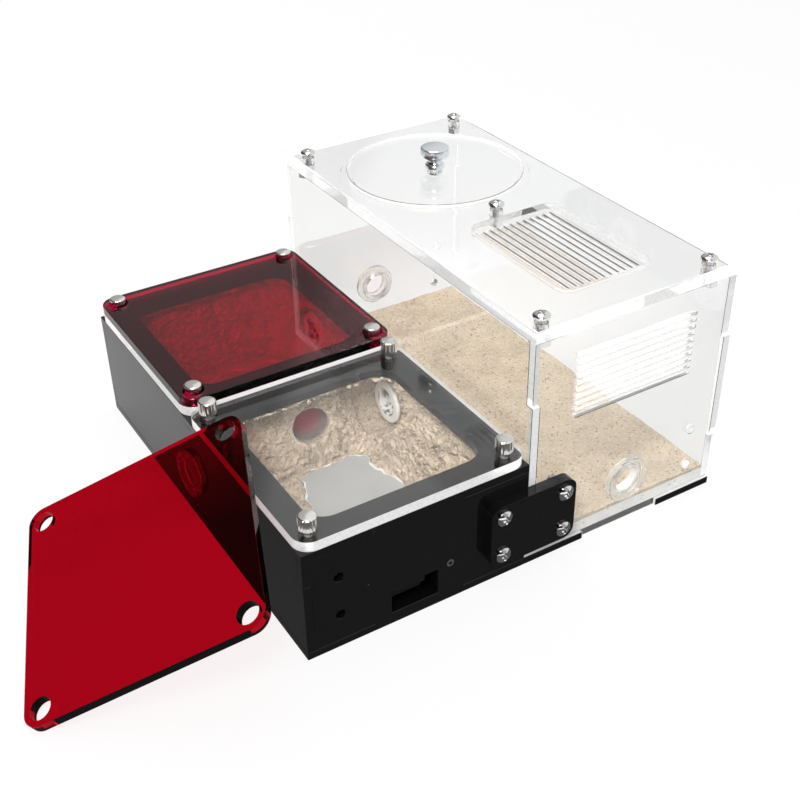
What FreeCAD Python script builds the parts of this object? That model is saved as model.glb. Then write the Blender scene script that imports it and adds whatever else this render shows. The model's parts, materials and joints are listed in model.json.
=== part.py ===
"""Ant habitat: a black nest block with two lined chambers beside a clear foraging box.

Millimetres. The origin is the front left corner of the nest block's underside,
+X runs to the right across the nest and the foraging box, +Y to the back, +Z up.
"""
import FreeCAD, Part
import math
import os

V = FreeCAD.Vector

# ---- sheets and gaps -----------------------------------------------------------------
black_sheet = 3.5
wall_sheet = 3.6
lid_sheet = 5.0
cover_sheet = 4.4
red_sheet = 4.0
bracket_sheet = 5.0
running_gap = 0.08
bond_gap = 0.05
slip_gap = 0.2

# ---- nest block ------------------------------------------------------------------------
nest_width = 100.0
nest_length = 200.3
nest_height = 51.3
nest_tab_width = 40.0
nest_finger_low = 12.6
nest_finger_length = 23.4
side_tab_offset = 3.0
side_tab_length = 28.0
frame_border = 12.0
frame_corner = 9.0

# ---- covers and their thumb screws -----------------------------------------------------
cover_margin = 0.15
cover_corner = 7.0
red_hole_radius = 4.5
screw_inset = 7.15
screw_shank_radius = 1.5
screw_collar_radius = 3.1
screw_collar_height = 1.2
screw_head_radius = 3.75
screw_head_height = 5.6
knurl_count = 20
knurl_depth = 0.35
insert_radius = 2.6

# ---- leaning red cover -----------------------------------------------------------------
lean_reach = 97.9
lean_foot_y = 24.8
lean_turn = -23.6
lean_gap = 0.2

# ---- lining of the chambers ------------------------------------------------------------
lining_rim = 3.0
lining_floor = 10.0
lining_run_left = 20.0
lining_run_right = 14.0
lining_run_end = 14.0
lining_run_ridge = 16.0
lining_corner = 8.0
ridge_shift = 9.85
ridge_thickness = 12.0
tunnel_radius = 9.0
tunnel_x = 56.5
tile_thickness = 1.2
tile_margin = 7.0
tile_lobes = 3
tile_lobe_depth = 0.12
tile_points = 8
pocket_gap = 1.0

# ---- ports -----------------------------------------------------------------------------
port_bore_radius = 6.1
port_sleeve_radius = 8.0
port_flange_radius = 10.3
port_flange_thickness = 3.0
port_height = 24.5
middle_port_y = 98.0
rear_port_y = 167.4

# ---- access slot and probe eyelet in the nest's front wall -------------------------------
slot_left = 37.0
slot_low = 5.5
slot_width = 21.0
slot_height = 9.5
slot_step_width = 6.0
slot_step_rise = 2.5
slot_depth = 10.5
slot_shell = 1.5
slot_shelf_height = 4.7
slot_shelf_sheet = 1.0
eyelet_x = 63.5
eyelet_height = 18.6
eyelet_radius = 1.6
eyelet_bore_radius = 0.9
eyelet_proud = 0.3

# ---- foraging box ------------------------------------------------------------------------
box_width = 100.9
box_height = 110.3
box_tab_width = 40.4
box_side_tab_length = 60.0
box_finger_low = 27.0
box_finger_length = 50.0
lid_overhang = 0.1
bed_thickness = 5.5
sand_thickness = 2.5

# ---- vents -------------------------------------------------------------------------------
wall_vent_width = 59.0
wall_vent_low = 65.9
wall_vent_count = 10
wall_vent_pitch = 3.1
wall_vent_slit = 1.2
lid_vent_width = 45.6
lid_vent_length = 66.9
lid_vent_inset = 19.2
lid_vent_corner = 6.4
vent_plate_sheet = 2.5
vent_slit_count = 11
vent_slit_pitch = 3.5
vent_slit_width = 1.0
vent_slit_length = 58.0

# ---- disc lid, knob and lid bolts ------------------------------------------------------------
disc_radius = 40.8
disc_inset = 55.3
seat_lip = 2.5
seat_bond_width = 3.0
seat_sheet = 2.0
knob_radius = 8.0
knob_cap_height = 3.4
knob_neck_radius = 2.6
knob_foot_radius = 4.0
knob_foot_height = 2.2
knob_height = 10.0
knob_edge = 0.85
bush_radius = 2.9
bush_length = 3.5
bush_wall_gap = 2.4
middle_bolt_y = 96.0

# ---- pan head screws and nuts ------------------------------------------------------------------
pan_head_radius = 3.5
pan_head_height = 2.2
pan_dome_radius = 5.25
pan_shank_radius = 1.5
pan_hole_radius = 1.6
spare_hole_radius = 2.0
cross_length = 3.9
cross_width = 0.9
cross_depth = 1.1
nut_flats = 5.5
nut_height = 2.4

# ---- bracket and its holes ------------------------------------------------------------------------
bracket_hole_inset = 14.8
bracket_hole_low = 16.2
bracket_hole_pitch = 18.5
bracket_margin = 5.7
bracket_corner = 5.0

# ---- places worked out from the sizes above ---------------------------------------------------------
frame_low = nest_height - black_sheet
nest_middle = nest_length / 2
cover_top = nest_height + cover_sheet
ridge_centre = nest_middle + ridge_shift
box_left = nest_width
box_right = box_left + box_width
box_middle = box_left + box_width / 2
box_length = nest_length
lid_low = box_height - lid_sheet
disc_y = box_length - disc_inset
bolt_inset = wall_sheet + bush_wall_gap + bush_radius
nut_radius = nut_flats / math.sqrt(3)
bracket_heights = [bracket_hole_low, bracket_hole_low + bracket_hole_pitch]
bracket_screw_x = nest_width - bracket_hole_inset
ridge_front = ridge_centre - ridge_thickness / 2
ridge_back = ridge_centre + ridge_thickness / 2
ridge_foot_front = ridge_front - lining_run_ridge
ridge_foot_back = ridge_back + lining_run_ridge


def block(x0, x1, y0, y1, z0, z1):
    """A rectangular solid between two corners."""
    return Part.makeBox(x1 - x0, y1 - y0, z1 - z0, V(x0, y0, z0))


def rounded_block(x0, x1, y0, y1, z0, z1, radius):
    """A rectangular solid whose four upright edges are rounded."""
    solid = block(x0, x1, y0, y1, z0, z1)
    upright = [e for e in solid.Edges if abs(e.tangentAt(e.FirstParameter).z) > 0.5]
    return solid.makeFillet(radius, upright)


def rod(radius, start, direction, length):
    """A round solid from a start point along a direction."""
    return Part.makeCylinder(radius, length, start, direction)


def ring(outer, inner, start, direction, length):
    """A round tube from a start point along a direction."""
    return rod(outer, start, direction, length).cut(rod(inner, start, direction, length))


def joined(solids):
    """One clean solid from solids that share faces."""
    whole = solids[0]
    for solid in solids[1:]:
        whole = whole.fuse(solid)
    return whole.removeSplitter()


def without(solid, tools):
    """A solid with every tool cut out of it."""
    for tool in tools:
        solid = solid.cut(tool)
    return solid


# ---- hole patterns -----------------------------------------------------------------------------------
def bracket_holes(x, radius, y0, y1):
    """The upright pair of bracket holes at one x, through the wall from y0 to y1."""
    return [rod(radius, V(x, y0, z), V(0, 1, 0), y1 - y0) for z in bracket_heights]


def cover_corners(y0, y1):
    """The four screw places of the cover that runs from y0 to y1."""
    xs = [screw_inset, nest_width - screw_inset]
    ys = [y0 + screw_inset, y1 - screw_inset]
    return [V(x, y, 0) for y in ys for x in xs]


front_screws = cover_corners(0, nest_middle)
rear_screws = cover_corners(nest_middle, nest_length)


# ---- nest block ------------------------------------------------------------------------------------------
def end_wall_tabs(y0):
    """The spaces that the tabs of the nest's end wall take, from the floor to the frame's top."""
    x0 = (nest_width - nest_tab_width) / 2
    return [block(x0, x0 + nest_tab_width, y0, y0 + black_sheet, 0, nest_height)]


def side_wall_tabs(x0):
    """The spaces that the two tabs of the nest's side wall take."""
    starts = [nest_middle + side_tab_offset, nest_middle - side_tab_offset - side_tab_length]
    return [block(x0, x0 + black_sheet, y, y + side_tab_length, 0, nest_height) for y in starts]


def corner_fingers(x0, y_list):
    """The parts of a side wall that show in the end walls' faces."""
    top = nest_finger_low + nest_finger_length
    return [block(x0, x0 + black_sheet, y, y + black_sheet, nest_finger_low, top) for y in y_list]


nest_right_x = nest_width - black_sheet
nest_back_y = nest_length - black_sheet
nest_tabs = (end_wall_tabs(0) + end_wall_tabs(nest_back_y)
             + side_wall_tabs(0) + side_wall_tabs(nest_right_x))


def nest_end_wall(y0):
    """A front or back wall of the nest, with its tabs, corner notches and bracket holes."""
    plate = block(0, nest_width, y0, y0 + black_sheet, black_sheet, frame_low)
    wall = joined([plate] + end_wall_tabs(y0))
    wall = without(wall, corner_fingers(0, [y0]) + corner_fingers(nest_right_x, [y0]))
    y1 = y0 + black_sheet
    wall = without(wall, bracket_holes(bracket_hole_inset, spare_hole_radius, y0, y1))
    return without(wall, bracket_holes(bracket_screw_x, pan_hole_radius, y0, y1))


def slot_outline(y0, y1):
    """The stepped space of the access slot between two depths."""
    slot_right = slot_left + slot_width
    low = block(slot_left, slot_right, y0, y1, slot_low, slot_low + slot_height)
    step_x = slot_right - slot_step_width
    step_top = slot_low + slot_height + slot_step_rise
    return joined([low, block(step_x, slot_right, y0, y1, slot_low, step_top)])


def nest_front_wall():
    """The front wall, with the access slot and the eyelet's hole."""
    hole = rod(eyelet_radius + bond_gap, V(eyelet_x, 0, eyelet_height), V(0, 1, 0), black_sheet)
    return without(nest_end_wall(0), [slot_outline(0, black_sheet), hole])


def nest_back_wall():
    """The back wall."""
    return nest_end_wall(nest_back_y)


def nest_side_wall(x0, port_ys):
    """A side wall of the nest, with its tabs, corner fingers and port holes."""
    plate = block(x0, x0 + black_sheet, black_sheet, nest_back_y, black_sheet, frame_low)
    wall = joined([plate] + side_wall_tabs(x0) + corner_fingers(x0, [0, nest_back_y]))
    radius = port_sleeve_radius + bond_gap
    return without(wall, [rod(radius, V(x0, y, port_height), V(1, 0, 0), black_sheet) for y in port_ys])


def nest_floor():
    """The bottom sheet, notched for the walls' tabs."""
    return without(block(0, nest_width, 0, nest_length, 0, black_sheet), nest_tabs)


def nest_top_frame():
    """The top sheet, with one opening over each chamber and a hole for each screw insert."""
    frame = without(block(0, nest_width, 0, nest_length, frame_low, nest_height), nest_tabs)
    for y0 in (0, nest_middle):
        opening = rounded_block(frame_border, nest_width - frame_border, y0 + frame_border,
                                y0 + nest_middle - frame_border, frame_low, nest_height, frame_corner)
        frame = frame.cut(opening)
    for place in front_screws + rear_screws:
        hole = rod(insert_radius + bond_gap, V(place.x, place.y, frame_low), V(0, 0, 1), black_sheet)
        frame = frame.cut(hole)
    return frame


def screw_inserts(places):
    """The threaded bushes that the thumb screws run in, pressed into the top frame."""
    bore = screw_shank_radius + running_gap
    rings = [ring(insert_radius, bore, V(p.x, p.y, frame_low), V(0, 0, 1), black_sheet) for p in places]
    return Part.makeCompound(rings)


# ---- lining ----------------------------------------------------------------------------------------------
def rounded_outline(x0, x1, y0, y1, z, radius):
    """A closed rounded rectangle at one height."""
    base = rounded_block(x0, x1, y0, y1, z, z + 1, radius)
    return [f for f in base.Faces if f.normalAt(0, 0).z < -0.5][0].OuterWire


def chamber_hollow(y0, y1, run0, run1):
    """The bowl of one chamber between two y places, with its sloping banks."""
    x0 = black_sheet + lining_rim
    x1 = nest_right_x - lining_rim
    foot = rounded_outline(x0 + lining_run_left, x1 - lining_run_right, y0 + run0, y1 - run1,
                           lining_floor, lining_corner)
    rim = rounded_outline(x0, x1, y0, y1, frame_low, lining_corner)
    return Part.makeLoft([foot, rim], True, True)


def tunnel():
    """The way through the ridge between the chambers."""
    start = V(tunnel_x, ridge_foot_front, port_height)
    return rod(tunnel_radius, start, V(0, 1, 0), ridge_foot_back - ridge_foot_front)


def port_bay(x0, direction, y):
    """The space that the lining leaves in front of a port."""
    radius = port_flange_radius + pocket_gap
    depth = lining_rim + lining_run_right
    return rod(radius, V(x0, y, port_height), V(direction, 0, 0), depth)


def bolt_pockets(y0, direction):
    """The spaces that the lining leaves for nuts behind both pairs of bracket holes in an end wall."""
    depth = nut_height + 2 * pocket_gap
    radius = nut_radius + pocket_gap
    return [rod(radius, V(x, y0, z), V(0, direction, 0), depth)
            for x in (bracket_hole_inset, bracket_screw_x) for z in bracket_heights]


def slot_box():
    """The outside of the tray behind the access slot."""
    y1 = black_sheet + slot_depth + slot_shell
    top = slot_low + slot_height + slot_step_rise + slot_shell
    return block(slot_left - slot_shell, slot_left + slot_width + slot_shell, black_sheet, y1,
                 slot_low - slot_shell, top)


def front_hollow():
    """The bowl of the front chamber."""
    return chamber_hollow(black_sheet + lining_rim, ridge_front, lining_run_end, lining_run_ridge)


def rear_hollow():
    """The bowl of the rear chamber."""
    return chamber_hollow(ridge_back, nest_back_y - lining_rim, lining_run_ridge, lining_run_end)


def lining_front():
    """The cast lining of the front chamber, up to the foot of the ridge."""
    body = block(black_sheet, nest_right_x, black_sheet, ridge_foot_front, black_sheet, frame_low)
    bays = [port_bay(black_sheet, 1, middle_port_y), port_bay(nest_right_x, -1, middle_port_y)]
    return without(body, [front_hollow(), slot_box()] + bays + bolt_pockets(black_sheet, 1))


def lining_ridge():
    """The cast ridge between the chambers, with a tunnel through it and a bay at each port."""
    body = block(black_sheet, nest_right_x, ridge_foot_front, ridge_foot_back, black_sheet, frame_low)
    bays = [port_bay(black_sheet, 1, middle_port_y), port_bay(nest_right_x, -1, middle_port_y)]
    return without(body, [front_hollow(), rear_hollow(), tunnel()] + bays)


def lining_rear():
    """The cast lining of the rear chamber, from the foot of the ridge."""
    body = block(black_sheet, nest_right_x, ridge_foot_back, nest_back_y, black_sheet, frame_low)
    bay = port_bay(nest_right_x, -1, rear_port_y)
    return without(body, [rear_hollow(), bay] + bolt_pockets(nest_back_y, -1))


def moisture_tile(y0, y1):
    """The smooth wetting tile on a chamber's floor, with a free wavy outline."""
    x0 = black_sheet + lining_rim + lining_run_left + tile_margin
    x1 = nest_right_x - lining_rim - lining_run_right - tile_margin / 2
    centre = V((x0 + x1) / 2, (y0 + y1) / 2, lining_floor)
    points = []
    for step in range(tile_points):
        angle = 2 * math.pi * step / tile_points
        wave = 1 + tile_lobe_depth * math.cos(tile_lobes * angle)
        points.append(centre + V((x1 - x0) / 2 * wave * math.cos(angle),
                                 (y1 - y0) / 2 * wave * math.sin(angle), 0))
    curve = Part.BSplineCurve()
    curve.interpolate(points, PeriodicFlag=True)
    face = Part.Face(Part.Wire([curve.toShape()]))
    return face.extrude(V(0, 0, tile_thickness))


def moisture_tile_front():
    """The tile in the front chamber."""
    y0 = black_sheet + lining_rim + lining_run_end + tile_margin / 2
    return moisture_tile(y0, ridge_foot_front - tile_margin / 2)


def moisture_tile_rear():
    """The tile in the rear chamber."""
    y1 = nest_back_y - lining_rim - lining_run_end - tile_margin / 2
    return moisture_tile(ridge_foot_back + tile_margin / 2, y1)


# ---- ports -----------------------------------------------------------------------------------------------
def flanged_bush(face, direction, wall):
    """A clear bush whose flange lies on a wall's face and whose sleeve goes through the wall."""
    flange = ring(port_flange_radius, port_bore_radius, face, direction * -1, port_flange_thickness)
    sleeve = ring(port_sleeve_radius, port_bore_radius, face, direction, wall)
    return joined([flange, sleeve])


def nest_port_left():
    """The tube port in the nest's left wall, with its flange outside."""
    return flanged_bush(V(0, middle_port_y, port_height), V(1, 0, 0), black_sheet)


def link_bush(y):
    """The bush that joins a chamber to the foraging box, through both walls and its collar."""
    length = black_sheet + wall_sheet + port_flange_thickness
    return flanged_bush(V(nest_right_x, y, port_height), V(1, 0, 0), length)


def link_collar(y):
    """The collar that holds a link bush inside the foraging box."""
    inner = port_sleeve_radius + bond_gap
    start = V(box_left + wall_sheet, y, port_height)
    return ring(port_flange_radius, inner, start, V(1, 0, 0), port_flange_thickness)


def foraging_port_front():
    """The tube port in the foraging box's front wall."""
    return flanged_bush(V(box_middle, 0, port_height), V(0, 1, 0), wall_sheet)


def foraging_port_back():
    """The tube port in the foraging box's back wall."""
    return flanged_bush(V(box_middle, box_length, port_height), V(0, -1, 0), wall_sheet)


# ---- slot tray and eyelet ----------------------------------------------------------------------------------
def slot_tray():
    """The tray behind the access slot, with a narrow shelf on its left side."""
    cavity = slot_outline(black_sheet, black_sheet + slot_depth)
    shelf_z = slot_low + slot_shelf_height
    shelf = block(slot_left, slot_left + slot_width - slot_step_width, black_sheet,
                  black_sheet + slot_depth, shelf_z, shelf_z + slot_shelf_sheet)
    return joined([slot_box().cut(cavity), shelf])


def probe_eyelet():
    """The metal eyelet for a probe, in the nest's front wall."""
    start = V(eyelet_x, -eyelet_proud, eyelet_height)
    return ring(eyelet_radius, eyelet_bore_radius, start, V(0, 1, 0), eyelet_proud + black_sheet)


# ---- covers --------------------------------------------------------------------------------------------------
def cover_plate(y0, y1, z0, sheet, hole_radius):
    """A rounded cover over one chamber, with a hole at each screw."""
    plate = rounded_block(cover_margin, nest_width - cover_margin, y0 + cover_margin, y1 - cover_margin,
                          z0, z0 + sheet, cover_corner)
    holes = [rod(hole_radius, V(p.x, p.y, z0), V(0, 0, 1), sheet) for p in cover_corners(y0, y1)]
    return without(plate, holes)


def clear_cover_front():
    """The clear cover of the front chamber."""
    return cover_plate(0, nest_middle, nest_height, cover_sheet, screw_shank_radius + running_gap)


def clear_cover_rear():
    """The clear cover of the rear chamber."""
    return cover_plate(nest_middle, nest_length, nest_height, cover_sheet,
                       screw_shank_radius + running_gap)


def red_cover_rear():
    """The red shade on the rear chamber. Its holes drop over the screw heads."""
    return cover_plate(nest_middle, nest_length, cover_top, red_sheet, red_hole_radius)


def red_cover_front():
    """The red shade of the front chamber, leaning against the nest with one corner on the ground."""
    span_x = nest_width - 2 * cover_margin
    span_y = nest_middle - 2 * cover_margin
    plate = rounded_block(0, span_x, 0, span_y, 0, red_sheet, cover_corner)
    inset = screw_inset - cover_margin
    for x in (inset, span_x - inset):
        for y in (inset, span_y - inset):
            plate = plate.cut(rod(red_hole_radius, V(x, y, 0), V(0, 0, 1), red_sheet))
    rest_height = cover_top + lean_gap
    slope = math.atan2(rest_height, lean_reach + cover_margin)
    run = math.hypot(rest_height, lean_reach + cover_margin)
    uphill = V(math.cos(slope), 0, math.sin(slope))
    across = V(0, 1, 0)
    turn = math.radians(lean_turn)
    side = uphill * math.cos(turn) + across * math.sin(turn)
    end = across * math.cos(turn) - uphill * math.sin(turn)
    contact = V(cover_margin, lean_foot_y, rest_height)
    corner_centre = contact + uphill * (cover_corner - run)
    corner = corner_centre - (side + end) * cover_corner
    normal = side.cross(end)
    plate.Placement = FreeCAD.Placement(corner, FreeCAD.Rotation(side, end, normal, "XYZ"))
    return plate


def knurled_outline(z):
    """The closed outline of a knurled head, with one groove for each knurl."""
    points = []
    for step in range(2 * knurl_count):
        radius = screw_head_radius - knurl_depth * (step % 2)
        angle = math.pi * step / knurl_count
        points.append(V(radius * math.cos(angle), radius * math.sin(angle), z))
    return Part.makePolygon(points + points[:1])


def thumb_screw(place):
    """A knurled thumb screw with its collar on the clear cover."""
    shank = rod(screw_shank_radius, V(0, 0, frame_low), V(0, 0, 1), black_sheet + cover_sheet)
    collar = rod(screw_collar_radius, V(0, 0, cover_top), V(0, 0, 1), screw_collar_height)
    grip_low = cover_top + screw_collar_height
    grip_height = screw_head_height - knurl_depth
    grip = Part.Face(knurled_outline(grip_low)).extrude(V(0, 0, grip_height))
    cap_low = grip_low + grip_height
    cap = Part.makeCone(screw_head_radius - knurl_depth, screw_head_radius - 2 * knurl_depth,
                        knurl_depth, V(0, 0, cap_low))
    screw = joined([shank, collar, grip, cap])
    screw.translate(V(place.x, place.y, 0))
    return screw


# ---- foraging box --------------------------------------------------------------------------------------------
box_back_y = box_length - wall_sheet
box_right_x = box_right - wall_sheet


def box_end_tabs(y0):
    """The space that the tab of the foraging box's end wall takes in the base."""
    x0 = box_middle - box_tab_width / 2
    return [block(x0, x0 + box_tab_width, y0, y0 + wall_sheet, 0, black_sheet)]


def box_side_tabs(x0):
    """The space that the tab of the foraging box's side wall takes in the base."""
    y0 = (box_length - box_side_tab_length) / 2
    return [block(x0, x0 + wall_sheet, y0, y0 + box_side_tab_length, 0, black_sheet)]


def box_fingers(x0, y_list):
    """The parts of a clear side wall that show in the end walls' faces."""
    top = box_finger_low + box_finger_length
    return [block(x0, x0 + wall_sheet, y, y + wall_sheet, box_finger_low, top) for y in y_list]


def foraging_base():
    """The black base of the foraging box, notched for the walls' tabs."""
    tabs = box_end_tabs(0) + box_end_tabs(box_back_y) + box_side_tabs(box_left) + box_side_tabs(box_right_x)
    return without(block(box_left, box_right, 0, box_length, 0, black_sheet), tabs)


def foraging_end_wall(y0):
    """A clear front or back wall, with its tab, corner notches, port hole and bracket holes."""
    y1 = y0 + wall_sheet
    wall = joined([block(box_left, box_right, y0, y1, black_sheet, lid_low)] + box_end_tabs(y0))
    wall = without(wall, box_fingers(box_left, [y0]) + box_fingers(box_right_x, [y0]))
    port = rod(port_sleeve_radius + bond_gap, V(box_middle, y0, port_height), V(0, 1, 0), wall_sheet)
    wall = without(wall, bracket_holes(box_left + bracket_hole_inset, pan_hole_radius, y0, y1) + [port])
    return without(wall, bracket_holes(box_right - bracket_hole_inset, spare_hole_radius, y0, y1))


def foraging_front_wall():
    """The clear front wall, with its row of breathing slits."""
    wall = foraging_end_wall(0)
    x0 = box_middle - wall_vent_width / 2
    for row in range(wall_vent_count):
        z0 = wall_vent_low + row * wall_vent_pitch - wall_vent_slit / 2
        wall = wall.cut(block(x0, x0 + wall_vent_width, 0, wall_sheet, z0, z0 + wall_vent_slit))
    return wall


def foraging_back_wall():
    """The clear back wall."""
    return foraging_end_wall(box_back_y)


def foraging_side_wall(x0, port_ys):
    """A clear side wall, with its tab, corner fingers and any link holes."""
    plate = block(x0, x0 + wall_sheet, wall_sheet, box_back_y, black_sheet, lid_low)
    wall = joined([plate] + box_side_tabs(x0) + box_fingers(x0, [0, box_back_y]))
    radius = port_sleeve_radius + bond_gap
    return without(wall, [rod(radius, V(x0, y, port_height), V(1, 0, 0), wall_sheet) for y in port_ys])


def ground_layer(z0, thickness):
    """A layer that fills the foraging box from wall to wall."""
    return block(box_left + wall_sheet, box_right_x, wall_sheet, box_back_y, z0, z0 + thickness)


def lid_bolt_places():
    """The places of the four corner bolts and the middle bolt."""
    xs = [box_left + bolt_inset, box_right - bolt_inset]
    ys = [bolt_inset, box_length - bolt_inset]
    return [V(x, y, 0) for x in xs for y in ys] + [V(box_middle, middle_bolt_y, 0)]


def lid_vent_space(z0, sheet):
    """The rounded space of the lid's vent between two heights."""
    x0 = box_middle - lid_vent_width / 2
    y0 = lid_vent_inset
    return rounded_block(x0, x0 + lid_vent_width, y0, y0 + lid_vent_length, z0, z0 + sheet, lid_vent_corner)


def foraging_lid():
    """The clear lid, with the disc's hole, the vent opening and the bolt holes."""
    lid = block(box_left - lid_overhang, box_right + lid_overhang, -lid_overhang,
                box_length + lid_overhang, lid_low, box_height)
    lid = lid.cut(rod(disc_radius + slip_gap, V(box_middle, disc_y, lid_low), V(0, 0, 1), lid_sheet))
    lid = lid.cut(lid_vent_space(lid_low, lid_sheet))
    holes = [rod(pan_hole_radius, V(p.x, p.y, lid_low), V(0, 0, 1), lid_sheet) for p in lid_bolt_places()]
    return without(lid, holes)


def vent_plate():
    """The slotted plate set in the lower half of the vent opening."""
    plate = lid_vent_space(lid_low, vent_plate_sheet)
    first = box_middle - vent_slit_pitch * (vent_slit_count - 1) / 2
    y0 = lid_vent_inset + (lid_vent_length - vent_slit_length) / 2
    for row in range(vent_slit_count):
        x0 = first + row * vent_slit_pitch - vent_slit_width / 2
        slit = block(x0, x0 + vent_slit_width, y0, y0 + vent_slit_length, lid_low, lid_low + vent_plate_sheet)
        plate = plate.cut(slit)
    return plate


def disc_seat_ring():
    """The ring under the lid that the disc rests on."""
    outer = disc_radius + slip_gap + seat_bond_width
    return ring(outer, disc_radius - seat_lip, V(box_middle, disc_y, lid_low - seat_sheet), V(0, 0, 1),
                seat_sheet)


def disc_lid():
    """The clear feeding lid, flush in the big lid."""
    disc = rod(disc_radius, V(box_middle, disc_y, lid_low), V(0, 0, 1), lid_sheet)
    return disc.cut(rod(pan_hole_radius, V(box_middle, disc_y, lid_low), V(0, 0, 1), lid_sheet))


def disc_knob():
    """The turned knob of the disc lid, revolved from its half section."""
    top = box_height + knob_height
    cap_low = top - knob_cap_height
    waist = box_height + knob_foot_height
    section = [
        V(0, 0, box_height), V(knob_foot_radius, 0, box_height),
        V(knob_foot_radius, 0, waist - knob_edge / 2), V(knob_neck_radius, 0, waist),
        V(knob_neck_radius, 0, cap_low - knob_edge), V(knob_radius - 2 * knob_edge, 0, cap_low),
        V(knob_radius, 0, cap_low + knob_edge), V(knob_radius, 0, top - knob_edge),
        V(knob_radius - knob_edge, 0, top), V(0, 0, top),
    ]
    face = Part.Face(Part.makePolygon(section + section[:1]))
    knob = face.revolve(V(0, 0, 0), V(0, 0, 1), 360)
    knob.translate(V(box_middle, disc_y, 0))
    return knob


# ---- screws and nuts -----------------------------------------------------------------------------------------
def pan_screw(seat, direction, length):
    """A pan head screw whose head lies on seat and whose shank runs along direction."""
    shank = rod(pan_shank_radius, V(0, 0, -length), V(0, 0, 1), length)
    dome = Part.makeSphere(pan_dome_radius, V(0, 0, pan_head_height - pan_dome_radius))
    head = rod(pan_head_radius, V(0, 0, 0), V(0, 0, 1), pan_head_height).common(dome)
    half = cross_length / 2
    arm = cross_width / 2
    low = pan_head_height - cross_depth
    cross = joined([block(-half, half, -arm, arm, low, pan_head_height),
                    block(-arm, arm, -half, half, low, pan_head_height)])
    screw = joined([shank, head.cut(cross)])
    screw.Placement = FreeCAD.Placement(seat, FreeCAD.Rotation(V(0, 0, -1), direction))
    return screw


def hex_nut(seat, direction):
    """A plain nut on seat, with its thickness along direction."""
    corners = [V(nut_radius * math.cos(math.pi * k / 3), nut_radius * math.sin(math.pi * k / 3), 0)
               for k in range(6)]
    blank = Part.Face(Part.makePolygon(corners + corners[:1])).extrude(V(0, 0, nut_height))
    nut = blank.cut(rod(pan_hole_radius, V(0, 0, 0), V(0, 0, 1), nut_height))
    nut.Placement = FreeCAD.Placement(seat, FreeCAD.Rotation(V(0, 0, 1), direction))
    return nut


def lid_bolts():
    """The pan head bolts of the lid."""
    length = lid_sheet + bush_length + nut_height
    return Part.makeCompound([pan_screw(V(p.x, p.y, box_height), V(0, 0, -1), length)
                              for p in lid_bolt_places()])


def lid_bushes():
    """The clear bushes under the lid that find the inside corners of the walls."""
    return Part.makeCompound([ring(bush_radius, pan_hole_radius, V(p.x, p.y, lid_low - bush_length),
                                   V(0, 0, 1), bush_length) for p in lid_bolt_places()])


def lid_nuts():
    """The nuts that hold the bushes."""
    z = lid_low - bush_length
    return Part.makeCompound([hex_nut(V(p.x, p.y, z), V(0, 0, -1)) for p in lid_bolt_places()])


def knob_screw():
    """The screw that holds the knob from below."""
    return pan_screw(V(box_middle, disc_y, lid_low), V(0, 0, 1), lid_sheet)


# ---- brackets ------------------------------------------------------------------------------------------------
bracket_xs = [bracket_screw_x, box_left + bracket_hole_inset]
bracket_walls = [black_sheet, wall_sheet]


def bracket_places(y):
    """The four screw places of a bracket, each with the thickness of the wall behind it."""
    return [(V(x, y, z), wall) for x, wall in zip(bracket_xs, bracket_walls) for z in bracket_heights]


def joining_bracket(y0):
    """The plate that ties the nest block to the foraging box."""
    x0 = bracket_xs[0] - bracket_margin
    x1 = bracket_xs[1] + bracket_margin
    z0 = bracket_hole_low - bracket_margin
    z1 = bracket_hole_low + bracket_hole_pitch + bracket_margin
    lying = rounded_block(x0, x1, z0, z1, 0, bracket_sheet, bracket_corner)
    lying.rotate(V(0, 0, 0), V(1, 0, 0), 90)
    lying.translate(V(0, y0 + bracket_sheet, 0))
    holes = [rod(pan_hole_radius, V(p.x, y0, p.z), V(0, 1, 0), bracket_sheet) for p, _ in bracket_places(y0)]
    return without(lying, holes)


def bracket_screws(face_y, inward):
    """The four screws of a bracket, whose outer face is at face_y."""
    direction = V(0, inward, 0)
    return Part.makeCompound([pan_screw(p, direction, bracket_sheet + wall + nut_height)
                              for p, wall in bracket_places(face_y)])


def bracket_nuts(wall_y, inward):
    """The four nuts of a bracket, behind walls whose outer face is at wall_y."""
    return Part.makeCompound([hex_nut(V(p.x, wall_y + inward * wall, p.z), V(0, inward, 0))
                              for p, wall in bracket_places(wall_y)])


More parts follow.
